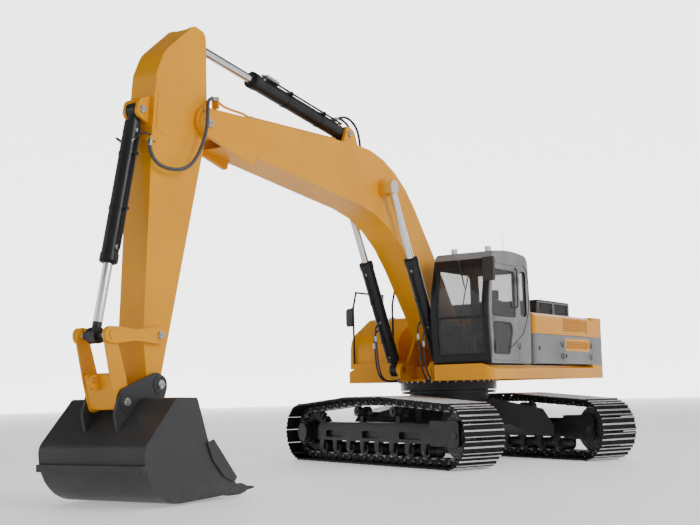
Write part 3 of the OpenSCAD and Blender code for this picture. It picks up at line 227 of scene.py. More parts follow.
# %% Shader expressions
class Value:
    """A number that changes over a surface, as a node socket with operators."""
    def __init__(self, paint, socket):
        self.paint, self.socket = paint, socket
    def _math(self, operation, a, b):
        return self.paint.make("Math", {"operation": operation}, {0: a, 1: b})
    def __add__(self, other): return self._math("ADD", self, other)
    def __sub__(self, other): return self._math("SUBTRACT", self, other)
    def __rsub__(self, other): return self._math("SUBTRACT", other, self)
    def __mul__(self, other): return self._math("MULTIPLY", self, other)
    def __truediv__(self, other): return self._math("DIVIDE", self, other)
    def __gt__(self, other): return self._math("GREATER_THAN", self, other)
    def __lt__(self, other): return self._math("LESS_THAN", self, other)

class Paint:
    """One material and its nodes."""
    def __init__(self, name, **sockets):
        self.material = bpy.data.materials.new(name)
        self.material.use_nodes = True
        self.tree = self.material.node_tree
        self.surface = self.tree.nodes["Principled BSDF"]
        for key, value in sockets.items():
            self.set(key.replace("_", " "), value)
    def make(self, kind, settings=None, inputs=None, out=0):
        """Any node: its settings first, then values or links for its sockets."""
        made = self.tree.nodes.new("ShaderNode" + kind)
        for key, value in (settings or {}).items():
            setattr(made, key, value)
        for key, value in (inputs or {}).items():
            self.join(value, made.inputs[key])
        return Value(self, made.outputs[out])
    def join(self, value, socket):
        if isinstance(value, Value):
            self.tree.links.new(value.socket, socket)
        else:
            socket.default_value = value
    def set(self, name, value):
        self.join((*value, 1) if name == "Base Color" and not isinstance(value, Value) else value,
                  self.surface.inputs[name])
        return self
    def where(self):
        return self.make("TexCoord", out="Object")
    def axis(self, letter):
        return self.make("SeparateXYZ", inputs={0: self.where()}, out=letter)
    def noise(self, scale, detail=4.0, stretch=(1, 1, 1)):
        spread = self.make("Mapping", inputs={"Vector": self.where(), "Scale": stretch})
        return self.make("TexNoise", inputs={"Vector": spread, "Scale": scale, "Detail": detail})
    def ramp(self, value, low, high):
        """0 below low, 1 above high, straight between."""
        return self.make("MapRange", {"clamp": True}, {"Value": value, "From Min": low, "From Max": high})
    def blend(self, mask, first, second):
        a, b = ((*c, 1) if not isinstance(c, Value) else c for c in (first, second))
        return self.make("Mix", {"data_type": "RGBA"}, {0: mask, 6: a, 7: b}, out=2)
    def relief(self, height, strength, distance=0.002):
        bump = {"Height": height, "Strength": strength, "Distance": distance}
        return self.set("Normal", self.make("Bump", inputs=bump))

# %% [markdown]
# Site paint is never one colour. A slow noise shifts its tone, fine noise gives the sprayed skin its
# orange peel, and dust settles low on the machine. The tones follow the photograph.

# %% Painted finishes
amber = (0.80, 0.335, 0.0004)
amber_shade = (0.72, 0.285, 0.0003)
slate = (0.150, 0.152, 0.158)
slate_light = (0.235, 0.238, 0.245)
soot = (0.012, 0.012, 0.013)
dust = (0.30, 0.25, 0.19)
lacquer = dict(Coat_Weight=0.06, Coat_Roughness=0.18, Specular_IOR_Level=0.24)

def drift_of(p):
    """Slow change of tone over a paint, from 0 to 1."""
    return p.ramp(p.noise(1.3, 3), 0.35, 0.7)

def orange_peel(p):
    """Fine waves of a sprayed skin; the finished material."""
    return p.relief(p.noise(260, 2), 0.05).material

def sprayed(name, tone, shade, rough=0.34, dust_top=1.0, dusty=0.35):
    """Two-tone sprayed paint with orange peel, and dust that fades out upwards."""
    p = Paint(name, **lacquer)
    drift = drift_of(p)
    dirty = p.ramp(p.noise(9, 6), 0.45, 0.75) * p.ramp(p.axis("Z"), dust_top, 0.1) * dusty
    p.set("Base Color", p.blend(dirty, p.blend(drift, tone, shade), dust))
    p.set("Roughness", p.noise(30, 3) * 0.12 + (rough - 0.06) + dirty * 0.5)
    return orange_peel(p)

amber_paint = sprayed("amber_paint", amber, amber_shade)
slate_paint = sprayed("slate_paint", slate_light, slate, rough=0.38)
frame_grey = sprayed("frame_grey", (0.016, 0.016, 0.017), (0.011, 0.011, 0.012), rough=0.36, dust_top=0.45)
soot_paint = sprayed("soot_paint", soot, (0.019, 0.019, 0.02), rough=0.32)
print("painted finishes", 4)

# %% Banded paint of doors and counterweight
band_low, band_high = 1.494, 1.975
def banded(name, patch=None):
    """Slate between two heights and amber outside them, with an amber patch if one is given."""
    p = Paint(name, **lacquer)
    z, x = p.axis("Z"), p.axis("X")
    inside = (z > band_low) * (z < band_high)
    if patch:
        (x0, z0), (x1, z1) = patch
        inside = inside * (1 - (x > x0) * (x < x1) * (z > z0) * (z < z1))
    drift = drift_of(p)
    ground, band = p.blend(drift, amber, amber_shade), p.blend(drift, slate_light, slate)
    p.set("Base Color", p.blend(inside, ground, band))
    p.set("Roughness", p.noise(30, 3) * 0.12 + 0.3)
    return orange_peel(p)
weight_paint = banded("weight_paint")
grille_patch = ((-2.47, 1.715), (-1.40, 1.925))
door_paint = banded("door_paint", grille_patch)
print("bands at", band_low, band_high)

# %% [markdown]
# Shoes are dark where soil does not rub and bright where it does. A point attribute named wear says
# where that is. The bucket is dark paint with little dust, rods are hard chrome, and pins machined.

# %% Metal finishes
def worn_iron(name, dark, bright, use_attribute):
    """Dark oxide with bright scuffs where the wear attribute or a scratch noise is high."""
    p = Paint(name, Metallic=0.85)
    if use_attribute:
        rubbed = p.make("Attribute", {"attribute_name": "wear"}, out="Fac")
        mask = p.ramp(rubbed + (p.noise(22, 6) - 0.5) * 0.7, 0.45, 0.8)
    else:
        mask = p.ramp(p.noise(14, 8, (1, 1, 3)), 0.52, 0.7) * 0.35
    p.set("Base Color", p.blend(mask, dark, bright))
    p.set("Roughness", 0.5 - mask * 0.16 + p.noise(40, 4) * 0.16)
    p.relief(p.noise(60, 6), 0.18, 0.004)
    return p.material
shoe_steel = worn_iron("shoe_steel", (0.022, 0.022, 0.024), (0.60, 0.60, 0.61), True)
bucket_steel = sprayed("bucket_steel", (0.040, 0.041, 0.044), (0.031, 0.032, 0.034),
                       rough=0.40, dust_top=0.25, dusty=0.08)
roller_steel = worn_iron("roller_steel", (0.06, 0.06, 0.062), (0.30, 0.30, 0.30), False)

def ground_metal(name, tone, rough, scratch):
    """Machined metal: fine lines round the piece in roughness and height."""
    p = Paint(name, Metallic=1.0)
    line = p.noise(90, 3, (0.15, 1, 1))
    p.set("Base Color", p.blend(line, tone, tuple(0.82 * c for c in tone)))
    p.set("Roughness", line * scratch + rough)
    p.relief(line, 0.04)
    return p.material
chrome_tone = (0.80, 0.81, 0.83)
rod_chrome = ground_metal("rod_chrome", chrome_tone, 0.10, 0.10)
def rod_with_eye(name, eye, radius):
    """Hard chrome that turns to black paint within a radius of the rod's eye."""
    p = Paint(name)
    far = p.make("VectorMath", {"operation": "DISTANCE"}, {0: p.where(), 1: eye}, out="Value")
    bare = p.ramp(far, radius, radius + 0.002)
    p.set("Base Color", p.blend(bare, (0.013, 0.013, 0.014), chrome_tone))
    p.set("Metallic", bare)
    p.set("Roughness", p.noise(90, 3, (0.15, 1, 1)) * 0.10 + 0.34 - bare * 0.24)
    return p.material
crowd_eye, eye_paint_r = (7.9046, 0.0, 1.7838), 0.150
crowd_chrome = rod_with_eye("crowd_chrome", crowd_eye, eye_paint_r)
pin_steel = ground_metal("pin_steel", (0.52, 0.52, 0.51), 0.26, 0.18)
print("metal finishes", 6)

# %% Rubber, plastic, cloth and glass finishes
def moulded(name, tone, rough):
    """Moulded rubber or plastic: a fine grain in height and a slow change in roughness."""
    p = Paint(name)
    p.set("Base Color", p.blend(p.noise(3, 3), tone, tuple(1.35 * c for c in tone)))
    p.set("Roughness", p.noise(12, 3) * 0.15 + rough)
    p.relief(p.noise(420, 3), 0.12)
    return p.material
hose_jacket = moulded("hose_jacket", (0.016, 0.016, 0.017), 0.46)
hose_grey = moulded("hose_grey", (0.045, 0.046, 0.048), 0.46)
black_plastic = moulded("black_plastic", (0.013, 0.013, 0.014), 0.42)
seal_rubber = moulded("seal_rubber", (0.008, 0.008, 0.008), 0.55)

cloth = Paint("seat_weave", Sheen_Weight=0.3)
warp, weft = (cloth.make("TexWave", {"bands_direction": way}, {"Vector": cloth.where(), "Scale": 120.0})
              for way in "YZ")
cloth.set("Base Color", cloth.blend(warp * weft, (0.016, 0.016, 0.018), (0.045, 0.045, 0.05)))
cloth.set("Roughness", warp * 0.1 + 0.8)
cloth.relief(warp * weft, 0.4)
seat_weave = cloth.material

pane = Paint("tinted_glass", Roughness=0.02, IOR=1.5)
pane.set("Base Color", pane.blend(pane.noise(2, 2), (0.055, 0.06, 0.063), (0.075, 0.08, 0.083)))
pane.set("Alpha", pane.noise(1.5, 2) * 0.1 + 0.30)
tinted_glass = pane.material

bright = Paint("lamp_lens", Roughness=0.12, Coat_Weight=1.0)
facet = bright.make("TexVoronoi", inputs={"Vector": bright.where(), "Scale": 60.0}, out="Distance")
bright.set("Base Color", bright.blend(facet, (0.75, 0.75, 0.74), (0.95, 0.95, 0.93)))
bright.relief(facet, 0.3)
lamp_lens = bright.material

mesh_plate = Paint("pierced_plate_painted_shade", Metallic=0.3)
hole = mesh_plate.make("TexVoronoi", {"feature": "DISTANCE_TO_EDGE"},
                       {"Vector": mesh_plate.where(), "Scale": 34.0})
# The holes are not cut: their cells are painted near-black, as painted shade of the dark space behind the
# plate.
hole_shade = mesh_plate.ramp(hole, 0.10, 0.16)
mesh_plate.set("Base Color", mesh_plate.blend(hole_shade, (0.05,) * 3, (0.002,) * 3))
mesh_plate.set("Roughness", hole * 0.3 + 0.5)
pierced_plate_painted_shade = mesh_plate.material
print("soft and clear finishes", 8)

# %% Cab paint
cab = Paint("cab_paint", **lacquer)
slant = cab.axis("Z") * -0.10 + 1.61
on_side = (cab.axis("Y") > 1.486) * (cab.axis("X") < slant)
cab.set("Base Color", cab.blend(on_side, soot, cab.blend(drift_of(cab), slate_light, slate)))
cab.set("Roughness", cab.noise(30, 3) * 0.12 + 0.30)
cab_paint = orange_peel(cab)

# %% [markdown]
# Two hose loops hang past the boom tip, from the pipes' ports to the dipper. Their route is that of
# the solids, smoothed at the lower end.

# %% Hose loops at the boom tip
hose_r = 0.022
hose_route = np.array([
    (6.188, 0.262, 4.631), (6.248, 0.262, 4.629), (6.325, 0.275, 4.597), (6.378, 0.300, 4.535),
    (6.408, 0.320, 4.450), (6.428, 0.332, 4.350), (6.452, 0.338, 4.240), (6.490, 0.340, 4.120),
    (6.545, 0.340, 4.000), (6.612, 0.340, 3.890), (6.695, 0.338, 3.790), (6.800, 0.332, 3.710),
    (6.935, 0.318, 3.665), (7.082, 0.292, 3.660), (7.186, 0.262, 3.692), (7.248, 0.238, 3.752),
    (7.277, 0.218, 3.832), (7.277, 0.206, 3.904), (7.258, 0.200, 3.971)])
swage_line = np.array([(-0.5, 1.45), (0.6, 1.45), (0.7, 1.2), (3.4, 1.2), (3.6, 1.02)])

def hose(name, points, radius, bodies, finish, node_name=None):
    """A hose of one smooth curve with swaged collars at both ends."""
    path = smooth_path(points, 6)
    made = lay_out(name, tube(Shape(), path, radius, 14), None, finish)
    if node_name:
        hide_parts(node_name)
    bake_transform(made)
    for body, word, a, b in ((bodies[0], "_start", path[0], path[3]),
                             (bodies[-1], "_end", path[-1], path[-4])):
        swage = lathe(Shape(), Place(a, b - a, (0, 1, 0.3)), swage_line * radius, 14)
        lay_out(name + word, swage, body, pin_steel)

for side, word in both_sides:
    route = hose_route * (1, side, 1)
    hose("tip_hose_" + word, route, hose_r, ("boom", "dipper"), hose_grey,
         node_name="hose_" + word)

# %% [markdown]
# The solids keep their shapes and get their finishes here. A bevel of a few millimetres catches the
# light along every edge, as rolled plate does, and weighted normals keep the flats flat.

# %% Finishes of the solids
finishes = (
    (frame_grey, "car_body track_frame_left track_frame_right hub_drives engine_block"),
    (roller_steel, "idlers sprockets bottom_rollers carrier_rollers"),
    (soot_paint, "slew_ring_lower slew_ring_upper handrails engine_cover"),
    (soot_paint, "lift_barrels arm_barrel crowd_barrel"),
    (amber_paint, "revolving_frame hood fuel_tank boom boom_pipes dipper guide_links h_link"),
    (slate_paint, "house_posts cab_roof cab_door door_front_left"), (weight_paint, "counterweight"),
    (door_paint, "door_rear_left door_right"), (cab_paint, "cab_frame"), (seat_weave, "seat"),
    (tinted_glass, "cab_glazing door_glass"), (lamp_lens, "work_lamps"),
    (pin_steel, "upper_pins boom_pins dipper_pins bucket_pins"), (rod_chrome, "lift_rods arm_rod"),
    (black_plastic, "controls mirrors"), (crowd_chrome, "crowd_rod"), (bucket_steel, "bucket bucket_teeth"),
    (shoe_steel, "track_left track_right"), (hose_grey, "hose_left hose_right"))
worn = {name: finish for finish, names in finishes for name in names.split()}
edge_width = 0.004
plain = {"cab_glazing", "door_glass", "hose_left", "hose_right", "track_left", "track_right"}
for name, finish in worn.items():
    solid = node[name]
    solid.data.materials.clear()
    solid.data.materials.append(finish)
    if name in plain:
        continue
    weld = solid.modifiers.new("weld", "WELD")
    weld.merge_threshold = 0.0002
    bevelled(solid, edge_width, 32)
print("finished solids", len(worn))

# %% [markdown]
# A track is a chain of shoes on link rails. One shoe and one pair of links are laid out flat, then set at
# fifty stations round the belt in one array step. The belt is four arcs with straight runs between them.

# %% Stations of the track belt
track_turn = math.radians(65.15)
turn_cos, turn_sin = math.cos(track_turn), math.sin(track_turn)
gauge, shoe_width, shoe_count = 2.59, 0.70, 50
axle_x, axle_z = 2.020, 0.470
belt_circles = np.array([(axle_x, axle_z, 0.430), (0.433, 0.810, 0.195), (-0.579, 0.810, 0.195),
                         (-axle_x, axle_z, 0.430)])
def belt_line(circles, per_arc=400):
    """Closed belt round circles, anticlockwise; each arc runs between the normals of its straight runs."""
    nxt = np.roll(circles, -1, axis=0)
    d = nxt[:, :2] - circles[:, :2]
    normal = np.arctan2(d[:, 1], d[:, 0]) - np.arccos((circles[:, 2] - nxt[:, 2]) / np.hypot(*d.T))
    start = np.roll(normal, 1)
    sweep = (normal - start) % (2 * math.pi)
    s = np.linspace(0, 1, per_arc)
    a = start[:, None] + sweep[:, None] * s
    arc = circles[:, None, :2] + circles[:, None, 2:] * np.stack([np.cos(a), np.sin(a)], -1)
    return arc.reshape(-1, 2)
line = belt_line(belt_circles)
line = np.vstack([line, line[:1]])
run = np.concatenate([[0], np.cumsum(np.linalg.norm(np.diff(line, axis=0), axis=1))])
shoe_pitch = run[-1] / shoe_count
def stations(offset):
    """Centre, direction along and direction outwards at every shoe."""
    s = (np.arange(shoe_count) + offset) * shoe_pitch
    at = lambda q: np.stack([np.interp(q % run[-1], run, line[:, k]) for k in (0, 1)], -1)
    along = at(s + shoe_pitch * 0.4) - at(s - shoe_pitch * 0.4)
    along /= np.linalg.norm(along, axis=1, keepdims=True)
    return at(s), along, np.stack([along[:, 1], -along[:, 0]], -1)
print("belt", round(run[-1], 3), "m, pitch", round(shoe_pitch, 4))

# %% Track chains
shoe_t, bolt_r = 0.014, 0.017
shoe_line = np.array([
    (-0.49, 0.002), (-0.49, 0.010), (-0.455, 0.018), (-0.425, 0.039), (-0.385, 0.040), (-0.35, 0.020),
    (-0.22, shoe_t), (-0.10, 0.017), (-0.045, 0.038), (0.0, 0.040), (0.045, 0.038), (0.10, 0.017),
    (0.22, shoe_t), (0.35, 0.020), (0.385, 0.040), (0.425, 0.039), (0.46, 0.018), (0.49, 0.010),
    (0.49, 0.002)]) * (shoe_pitch, 1)
def repeat_on_belt(shape, flat, faces, offset, side, wear):
    """Copies of flat points (along, across, out) at every station; wear is one number a point."""
    centre, along, out = stations(offset)
    uz = centre[:, None] + flat[None, :, :1] * along[:, None] + flat[None, :, 2:] * out[:, None]
    v = np.broadcast_to(side * gauge / 2 + flat[None, :, 1], uz.shape[:2])
    u, z = uz[..., 0], np.maximum(uz[..., 1], 0)
    world = np.stack([u * turn_cos - v * turn_sin, u * turn_sin + v * turn_cos, z], -1)
    base = np.arange(shoe_count)[:, None, None] * len(flat)
    for block_faces in faces:
        corners = len(block_faces[0])
        shape.faces += (np.asarray(block_faces)[None] + base + shape.count).reshape(-1, corners).tolist()
    shape.points.append(world.reshape(-1, 3))
    shape.wear.append(np.tile(wear, shoe_count))
    shape.count += world.shape[0] * world.shape[1]

def prism(outline, stops):
    """Points and faces of an outline (along, out) carried across through the stops (across, shrink)."""
    o, mid = np.asarray(outline), np.mean(outline, axis=0)
    m, n = len(stops), len(o)
    rows = [(mid + (o - mid) * k, np.full(n, y)) for y, k in stops]
    flat = np.concatenate([np.column_stack([row[:, 0], y, row[:, 1]]) for row, y in rows])
    first, last = list(range(n))[::-1], list(range((m - 1) * n, m * n))
    return flat, [grid_quads(m, n, False, True)[:, ::-1], [first], [last]]

half = shoe_width / 2
head_faces = prism(ring(6), [(0, 1), (1, 1)])[1]
bolt_rise = np.repeat([shoe_t - 0.002, shoe_t + 0.012], 6)
shoe, shoe_faces = prism(shoe_line, [(-half, 0.9), (-half + 0.008, 1), (half - 0.008, 1), (half, 0.9)])
link_outline = np.array([
    (-0.56, -0.080), (-0.47, -0.100), (-0.2, -0.105), (0.2, -0.105), (0.38, -0.098), (0.43, -0.070),
    (0.40, -0.030), (0.28, -0.002), (-0.28, -0.002), (-0.44, -0.030)]) * (shoe_pitch, 1)
for side, word in both_sides:
    chain = Shape()
    chain.wear = []
    repeat_on_belt(chain, shoe, shoe_faces, 0.5, side, np.clip((shoe[:, 2] - 0.024) / 0.014, 0, 1))
    for y in (-0.122, 0.070):
        link, link_faces = prism(link_outline, [(y, 1), (y + 0.052, 1)])
        repeat_on_belt(chain, link, link_faces, 0.5, side, 0.15 + (link[:, 2] < -0.099) * 0.6)
    pin, pin_faces = prism(ring(10) * 0.026 + (0, -0.052), [(-0.130, 1), (0.130, 1)])
    repeat_on_belt(chain, pin, pin_faces, 0.0, side, np.full(len(pin), 0.5))
    for across in (-0.165, 0.165):
        for along in (-0.27 * shoe_pitch, 0.27 * shoe_pitch):
            head = np.column_stack([np.tile(ring(6) * bolt_r + (along, across), (2, 1)), bolt_rise])
            repeat_on_belt(chain, head, head_faces, 0.5, side, np.full(len(head), 0.2))
    made = lay_out("track_chain_" + word, chain, "undercarriage", shoe_steel, sharp=30)
    rubbed = made.data.attributes.new("wear", "FLOAT", "POINT")
    rubbed.data.foreach_set("value", np.concatenate(chain.wear).astype(np.float32))
    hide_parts("track_" + word)

# %% [markdown]
# A cylinder is more than a tube. Its gland is bolted on, a wiper ring cleans the rod, and a pipe carries
# oil along the barrel to the gland end. Each is laid out along the stroke, which the frame gives.

# %% Cylinder dressing
def along_stroke(hinge, slide, y=0.0):
    """Place at a cylinder's foot, with +X along its stroke."""
    d = stroke[slide]
    return Place(pivot[hinge] + (0, y, 0), d, (-d[2], 0, d[0]))

def dress_cylinder(name, place, r, length, rod, body, turn_deg):
    """Gland bolts, wiper ring, feed pipe and its clamps; the pipe lies at an angle round the barrel."""
    black, bright_bits = Shape(), Shape()
    face = Place(place((length, 0, 0)), place.up, place.across)
    for a in np.radians(np.arange(12) * 30):
        spot = 0.5 * (r + rod) + 0.006
        nut(black, face, (spot * math.cos(a), 0, spot * math.sin(a)), 0.012, 0.013)
    wiper_ring = [(0, rod + 0.002), (0, rod + 0.016), (0.014, rod + 0.016), (0.024, rod + 0.004),
                  (0.024, rod + 0.002)]
    lathe(black, place.moved((length, 0, 0)), wiper_ring, 32, True)
    out = np.array([0, math.cos(math.radians(turn_deg)), math.sin(math.radians(turn_deg))])
    spot_at = lambda x, h: place(np.array([x, 0, 0]) + out * h)
    low, high, clear = 0.26, length - 0.16, r + 0.034
    way = [(low, 0.9 * r), (low, r + 0.022), (0.30, clear), (0.5 * length, clear),
           (length - 0.20, clear), (high, r + 0.022), (high, 0.9 * r)]
    tube(black, smooth_path([spot_at(x, h) for x, h in way], 6), 0.014, 12)
    union = [(0, 0.030), (0.1 * r + 0.010, 0.030), (0.1 * r + 0.014, 0.024), (0.1 * r + 0.024, 0.024)]
    for x in (low, high):
        lathe(bright_bits, Place(spot_at(x, 0.9 * r), place.aim(out), place.along), union, 6)
    band = [(-0.016, r - 0.002), (-0.016, r + 0.006), (0.016, r + 0.006), (0.016, r - 0.002)]
    for x in (0.30 * length, 0.66 * length):
        lathe(black, place.moved((x, 0, 0)), band, 40, True)
        grip = Place(spot_at(x, r), place.along, place.aim(out))
        block(black, grip, (-0.016, -0.026, 0), (0.016, 0.026, 0.052))
    lay_out(name + "_dressing", black, body, soot_paint, 0.0015)
    lay_out(name + "_unions", bright_bits, body, pin_steel)

lift_y = 0.396
arm_at = along_stroke("arm_swing", "arm_slide")
crowd_at = along_stroke("crowd_swing", "crowd_slide")
for side, word in both_sides:
    lift_at = along_stroke("lift_swing", "lift_slide", side * lift_y)
    dress_cylinder("lift_" + word, lift_at, 0.100, length=1.820, rod=0.054, body="lift_barrels",
                   turn_deg=-90)
dress_cylinder("arm", arm_at, 0.103, length=2.191, rod=0.056, body="arm_barrel", turn_deg=30)
dress_cylinder("crowd", crowd_at, 0.094, length=1.791, rod=0.052, body="crowd_barrel", turn_deg=0)

# %% Valve block on the dipper cylinder
valve = Shape()
block(valve, arm_at, (1.70, 0.012, 0.088), (1.98, 0.096, 0.135))
for x in (1.74, 1.82, 1.90):
    cap = Place(arm_at((x, 0.055, 0.135)), arm_at.up, arm_at.along)
    lathe(valve, cap, [(0, 0.024), (0.016, 0.024), (0.020, 0.018), (0.034, 0.018)], 6)
stub = [(0, 0.022), (0.030, 0.022), (0.034, 0.016), (0.060, 0.016)]
lathe(valve, arm_at.moved((1.98, 0.055, 0.112)), stub, 6)
lay_out("arm_valve", valve, "arm_barrel", pin_steel, 0.002)

# %% [markdown]
# Hoses cross the pivots. Each is one smooth curve with a swaged steel end, between the two bodies it joins.
# A real hose wants bends of about four diameters; near some ends these are tighter.

# %% Hoses at the cylinders
lift_port = np.array([(1.478, 2.172), (1.424, 2.065)])
lift_loop = np.array([(0.145, -0.250), (0.155, -0.165), (0.135, -0.085), (0.080, -0.035), (0, 0)])
lift_foot_way = np.array([
    [(1.130, 1.285), (1.250, 1.262), (1.380, 1.285), (1.480, 1.360), (1.545, 1.480), (1.580, 1.620),
     (1.600, 1.770)],
    [(1.130, 1.300), (1.240, 1.275), (1.355, 1.295), (1.450, 1.365), (1.510, 1.470), (1.540, 1.580),
     (1.555, 1.690)]])
sleeve_line = [(-0.045, 0.015), (-0.040, 0.020), (-0.012, 0.020), (-0.010, 0.025), (0.014, 0.025),
               (0.016, 0.019), (0.045, 0.015)]
arm_way = np.array([(3.280, 1, 4.962), (3.150, 1, 5.020), (2.990, 1, 5.052), (2.830, 1, 5.020),
                    (2.705, 1, 4.930), (2.640, 1, 4.780), (2.618, 1, 4.612)])
crowd_way = np.array([(7.266, 0.212, 3.985), (7.300, 0.226, 4.014), (7.345, 0.222, 4.026),
                      (7.390, 0.194, 4.016), (7.418, 0.143, 3.986), (7.425, 0.085, 3.945)])
arm_hose_y = 0.055
for side, word in both_sides:
    for k, y in enumerate((0.372, 0.430)):
        flat_way = np.vstack([lift_foot_way[k], lift_port[k] + lift_loop])
        depth = np.full(len(flat_way), y)
        depth[:3] = 0.262 + 0.028 * k, 0.300 + 0.03 * k, y - 0.02
        way = np.column_stack([flat_way[:, 0], side * depth, flat_way[:, 1]])
        hose(f"lift_hose_{word}_{k}", way, 0.014, ("upper", "lift_barrels"), hose_jacket)
        joint = Place(way[7], way[8] - way[6], (0, 1, 0))
        sleeve = lathe(Shape(), joint, sleeve_line, 12)
        lay_out(f"lift_sleeve_{word}_{k}", sleeve, "lift_barrels", pin_steel)
for side, word in both_sides[::-1]:
    way = arm_way * (1, side * arm_hose_y, 1)
    hose("arm_hose_" + word, way, 0.018, ("arm_barrel", "boom"), hose_jacket)
for side, word in both_sides:
    way = crowd_way * (1, side, 1)
    hose("crowd_hose_" + word, way, 0.010, ("dipper", "crowd_barrel"), hose_jacket)

# %% Boom pipe ends
boom_rest, dipper_rest = 21.0, -74.1
boom_at = tilted(pivot["boom_lift"], boom_rest)
dipper_at = tilted(pivot["dipper_swing"], dipper_rest)
pipes, unions = Shape(), Shape()
pipe_way = np.array([(5.68, 0.15, 0.602), (5.80, 0.170, 0.551), (5.92, 0.215, 0.502), (6.05, 0.238, 0.447),
                     (6.25, 0.256, 0.368), (6.36, 0.262, 0.338), (6.435, 0.262, 0.338)])
union_line = [(0, 0.027), (0.045, 0.027), (0.05, 0.022), (0.07, 0.022)]
boom_top_way = boom_at.aim((1, 0, -0.4229))
for side in (1, -1):
    tube(pipes, smooth_path(boom_at(pipe_way * (1, side, 1)), 6), 0.016, 12)
    for y in (0.095, 0.150):
        spot = boom_at((5.665, side * y, 0.607))
        lathe(unions, Place(spot, boom_top_way, boom_at.across), union_line, 6)
lay_out("boom_pipe_ends", pipes, "boom", amber_paint)
lay_out("boom_pipe_unions", unions, "boom", pin_steel)

# %% [markdown]
# The dipper's head is closed in front of the rod's eye by a plate between its cheeks. Each cheek has a
# doubler round the pivot, a welded plate that spreads the pin's load.

# %% Plates of the dipper's head
head = Shape()
edge_line = np.array([(-0.605, 0.8015), (-1.028, 0.5145)])
inward = np.array([0.5615, -0.8275])
plate_line = np.vstack([edge_line + inward * 0.002, (edge_line + inward * 0.016)[::-1]])
slab(head, dipper_at, plate_line, -0.126, 0.126)
lay_out("head_plate", head, "dipper", amber_paint, 0.002)
doublers = Shape()
flank = np.array([(-0.020, 0.835), (0.06, 0.40), (0.25, 0.43), (0.43, 0.58), (0.42, 0.755)])
for y0, y1 in ((0.184, 0.192), (-0.192, -0.184)):
    slab(doublers, dipper_at, flank, y0, y1)
lay_out("dipper_doublers", doublers, "dipper", amber_paint, 0.003)

# %% [markdown]
# Seven cross pins are kept by a cap with two bolts at each end. One function makes them all, at the pivots
# that the frame gives.

# %% Pin caps
def pin_caps(name, at, y, radius, body):
    """A chamfered cap and two bolts on both ends of a cross pin."""
    caps = Shape()
    for side in (1, -1):
        own = Place(np.array([at[0], side * y, at[2]]), (0, side, 0), (0, 0, 1))
        lathe(caps, own, [(-0.002, radius), (0.006, radius), (0.012, radius - 0.006)], 32)
        face = Place(own.origin, (1, 0, 0), (0, 0, side))
        for x in (-0.5 * radius, 0.5 * radius):
            nut(caps, face, (x, 0.010, 0), 0.011, 0.012)
    lay_out(name + "_caps", caps, body, pin_steel)
pin_caps("tip", pivot["dipper_swing"], 0.286, 0.050, "boom")
pin_caps("arm_foot", pivot["arm_swing"], 0.129, 0.046, "boom")
pin_caps("crowd_foot", pivot["crowd_swing"], 0.129, 0.042, "dipper")
pin_caps("guide", pivot["guide_swing"], 0.260, 0.042, "dipper")
pin_caps("bucket", pivot["bucket_curl"], 0.274, 0.046, "bucket")
pin_caps("link", pivot["link_swing"], 0.274, 0.044, "bucket")
pin_caps("lift_foot", pivot["lift_swing"], 0.470, 0.050, "upper")

# %% [markdown]
# Openings need depth behind them. A dark perforated panel, whose holes are painted shade, stands behind
# each louvre, with upright bars that cut the long slots into cells, and the engine cover's two windows get
# their pale frames.

# %% Grilles and windows of the house
def cells(name, body, x, z, y, count, finish):
    """Upright bars across a louvre, and the dark panel behind them, with painted shade in its holes."""
    bars, back = Shape(), Shape()
    here = Place((0, 0, 0))
    for k in np.linspace(x[0], x[1], count + 2)[1:-1]:
        block(bars, here, (k - 0.007, y - 0.024, z[0]), (k + 0.007, y - 0.002, z[1]))
    block(back, here, (x[0] - 0.01, y - 0.062, z[0] - 0.01), (x[1] + 0.01, y - 0.044, z[1] + 0.01))
    lay_out(name + "_bars", bars, body, finish, 0.0015)
    lay_out(name + "_back", back, body, pierced_plate_painted_shade, 0.002)
house_y = 1.485
cells("hood_grille", "upper", (-2.40, -1.295), (2.045, 2.256), house_y, 15, amber_paint)
cells("door_grille", "door_rear_left", (-2.38, -1.445), (1.762, 1.874), house_y, 13, amber_paint)
rims, nets = Shape(), Shape()
flat_place = Place((0, 0, 0))
for x0, x1 in ((-2.48, -1.875), (-1.805, -1.20)):
    z0, z1, w = 2.362, 2.542, 0.026
    for low, high in (((x0 - w, z0 - w), (x1 + w, z0)), ((x0 - w, z1), (x1 + w, z1 + w * 0.6)),
                      ((x0 - w, z0), (x0, z1)), ((x1, z0), (x1 + w, z1))):
        block(rims, flat_place, (low[0], 1.099, low[1]), (high[0], 1.110, high[1]))
    block(nets, flat_place, (x0, 1.050, z0), (x1, 1.064, z1))
lay_out("cover_rims", rims, "engine_cover", slate_paint, 0.003)
# The nets are the same plate, with painted shade in their holes.
lay_out("cover_nets", nets, "engine_cover", pierced_plate_painted_shade, 0.002)
latch = [(0, 0.034), (0.006, 0.034), (0.010, 0.028), (0.012, 0.010)]
for word, x, z in (("front", -0.30, 1.74), ("rear", -1.40, 1.63)):
    knob = lathe(Shape(), Place((x, 1.484, z), (0, 1, 0), (0, 0, 1)), latch, 28)
    lay_out(word + "_latch", knob, f"door_{word}_left", black_plastic)

# %% [markdown]
# The cab's front leans in above and below its middle. One function gives that line, so the wiper and
# the seals follow the glass. A soft minimum joins the two straight parts as the bent pane does.

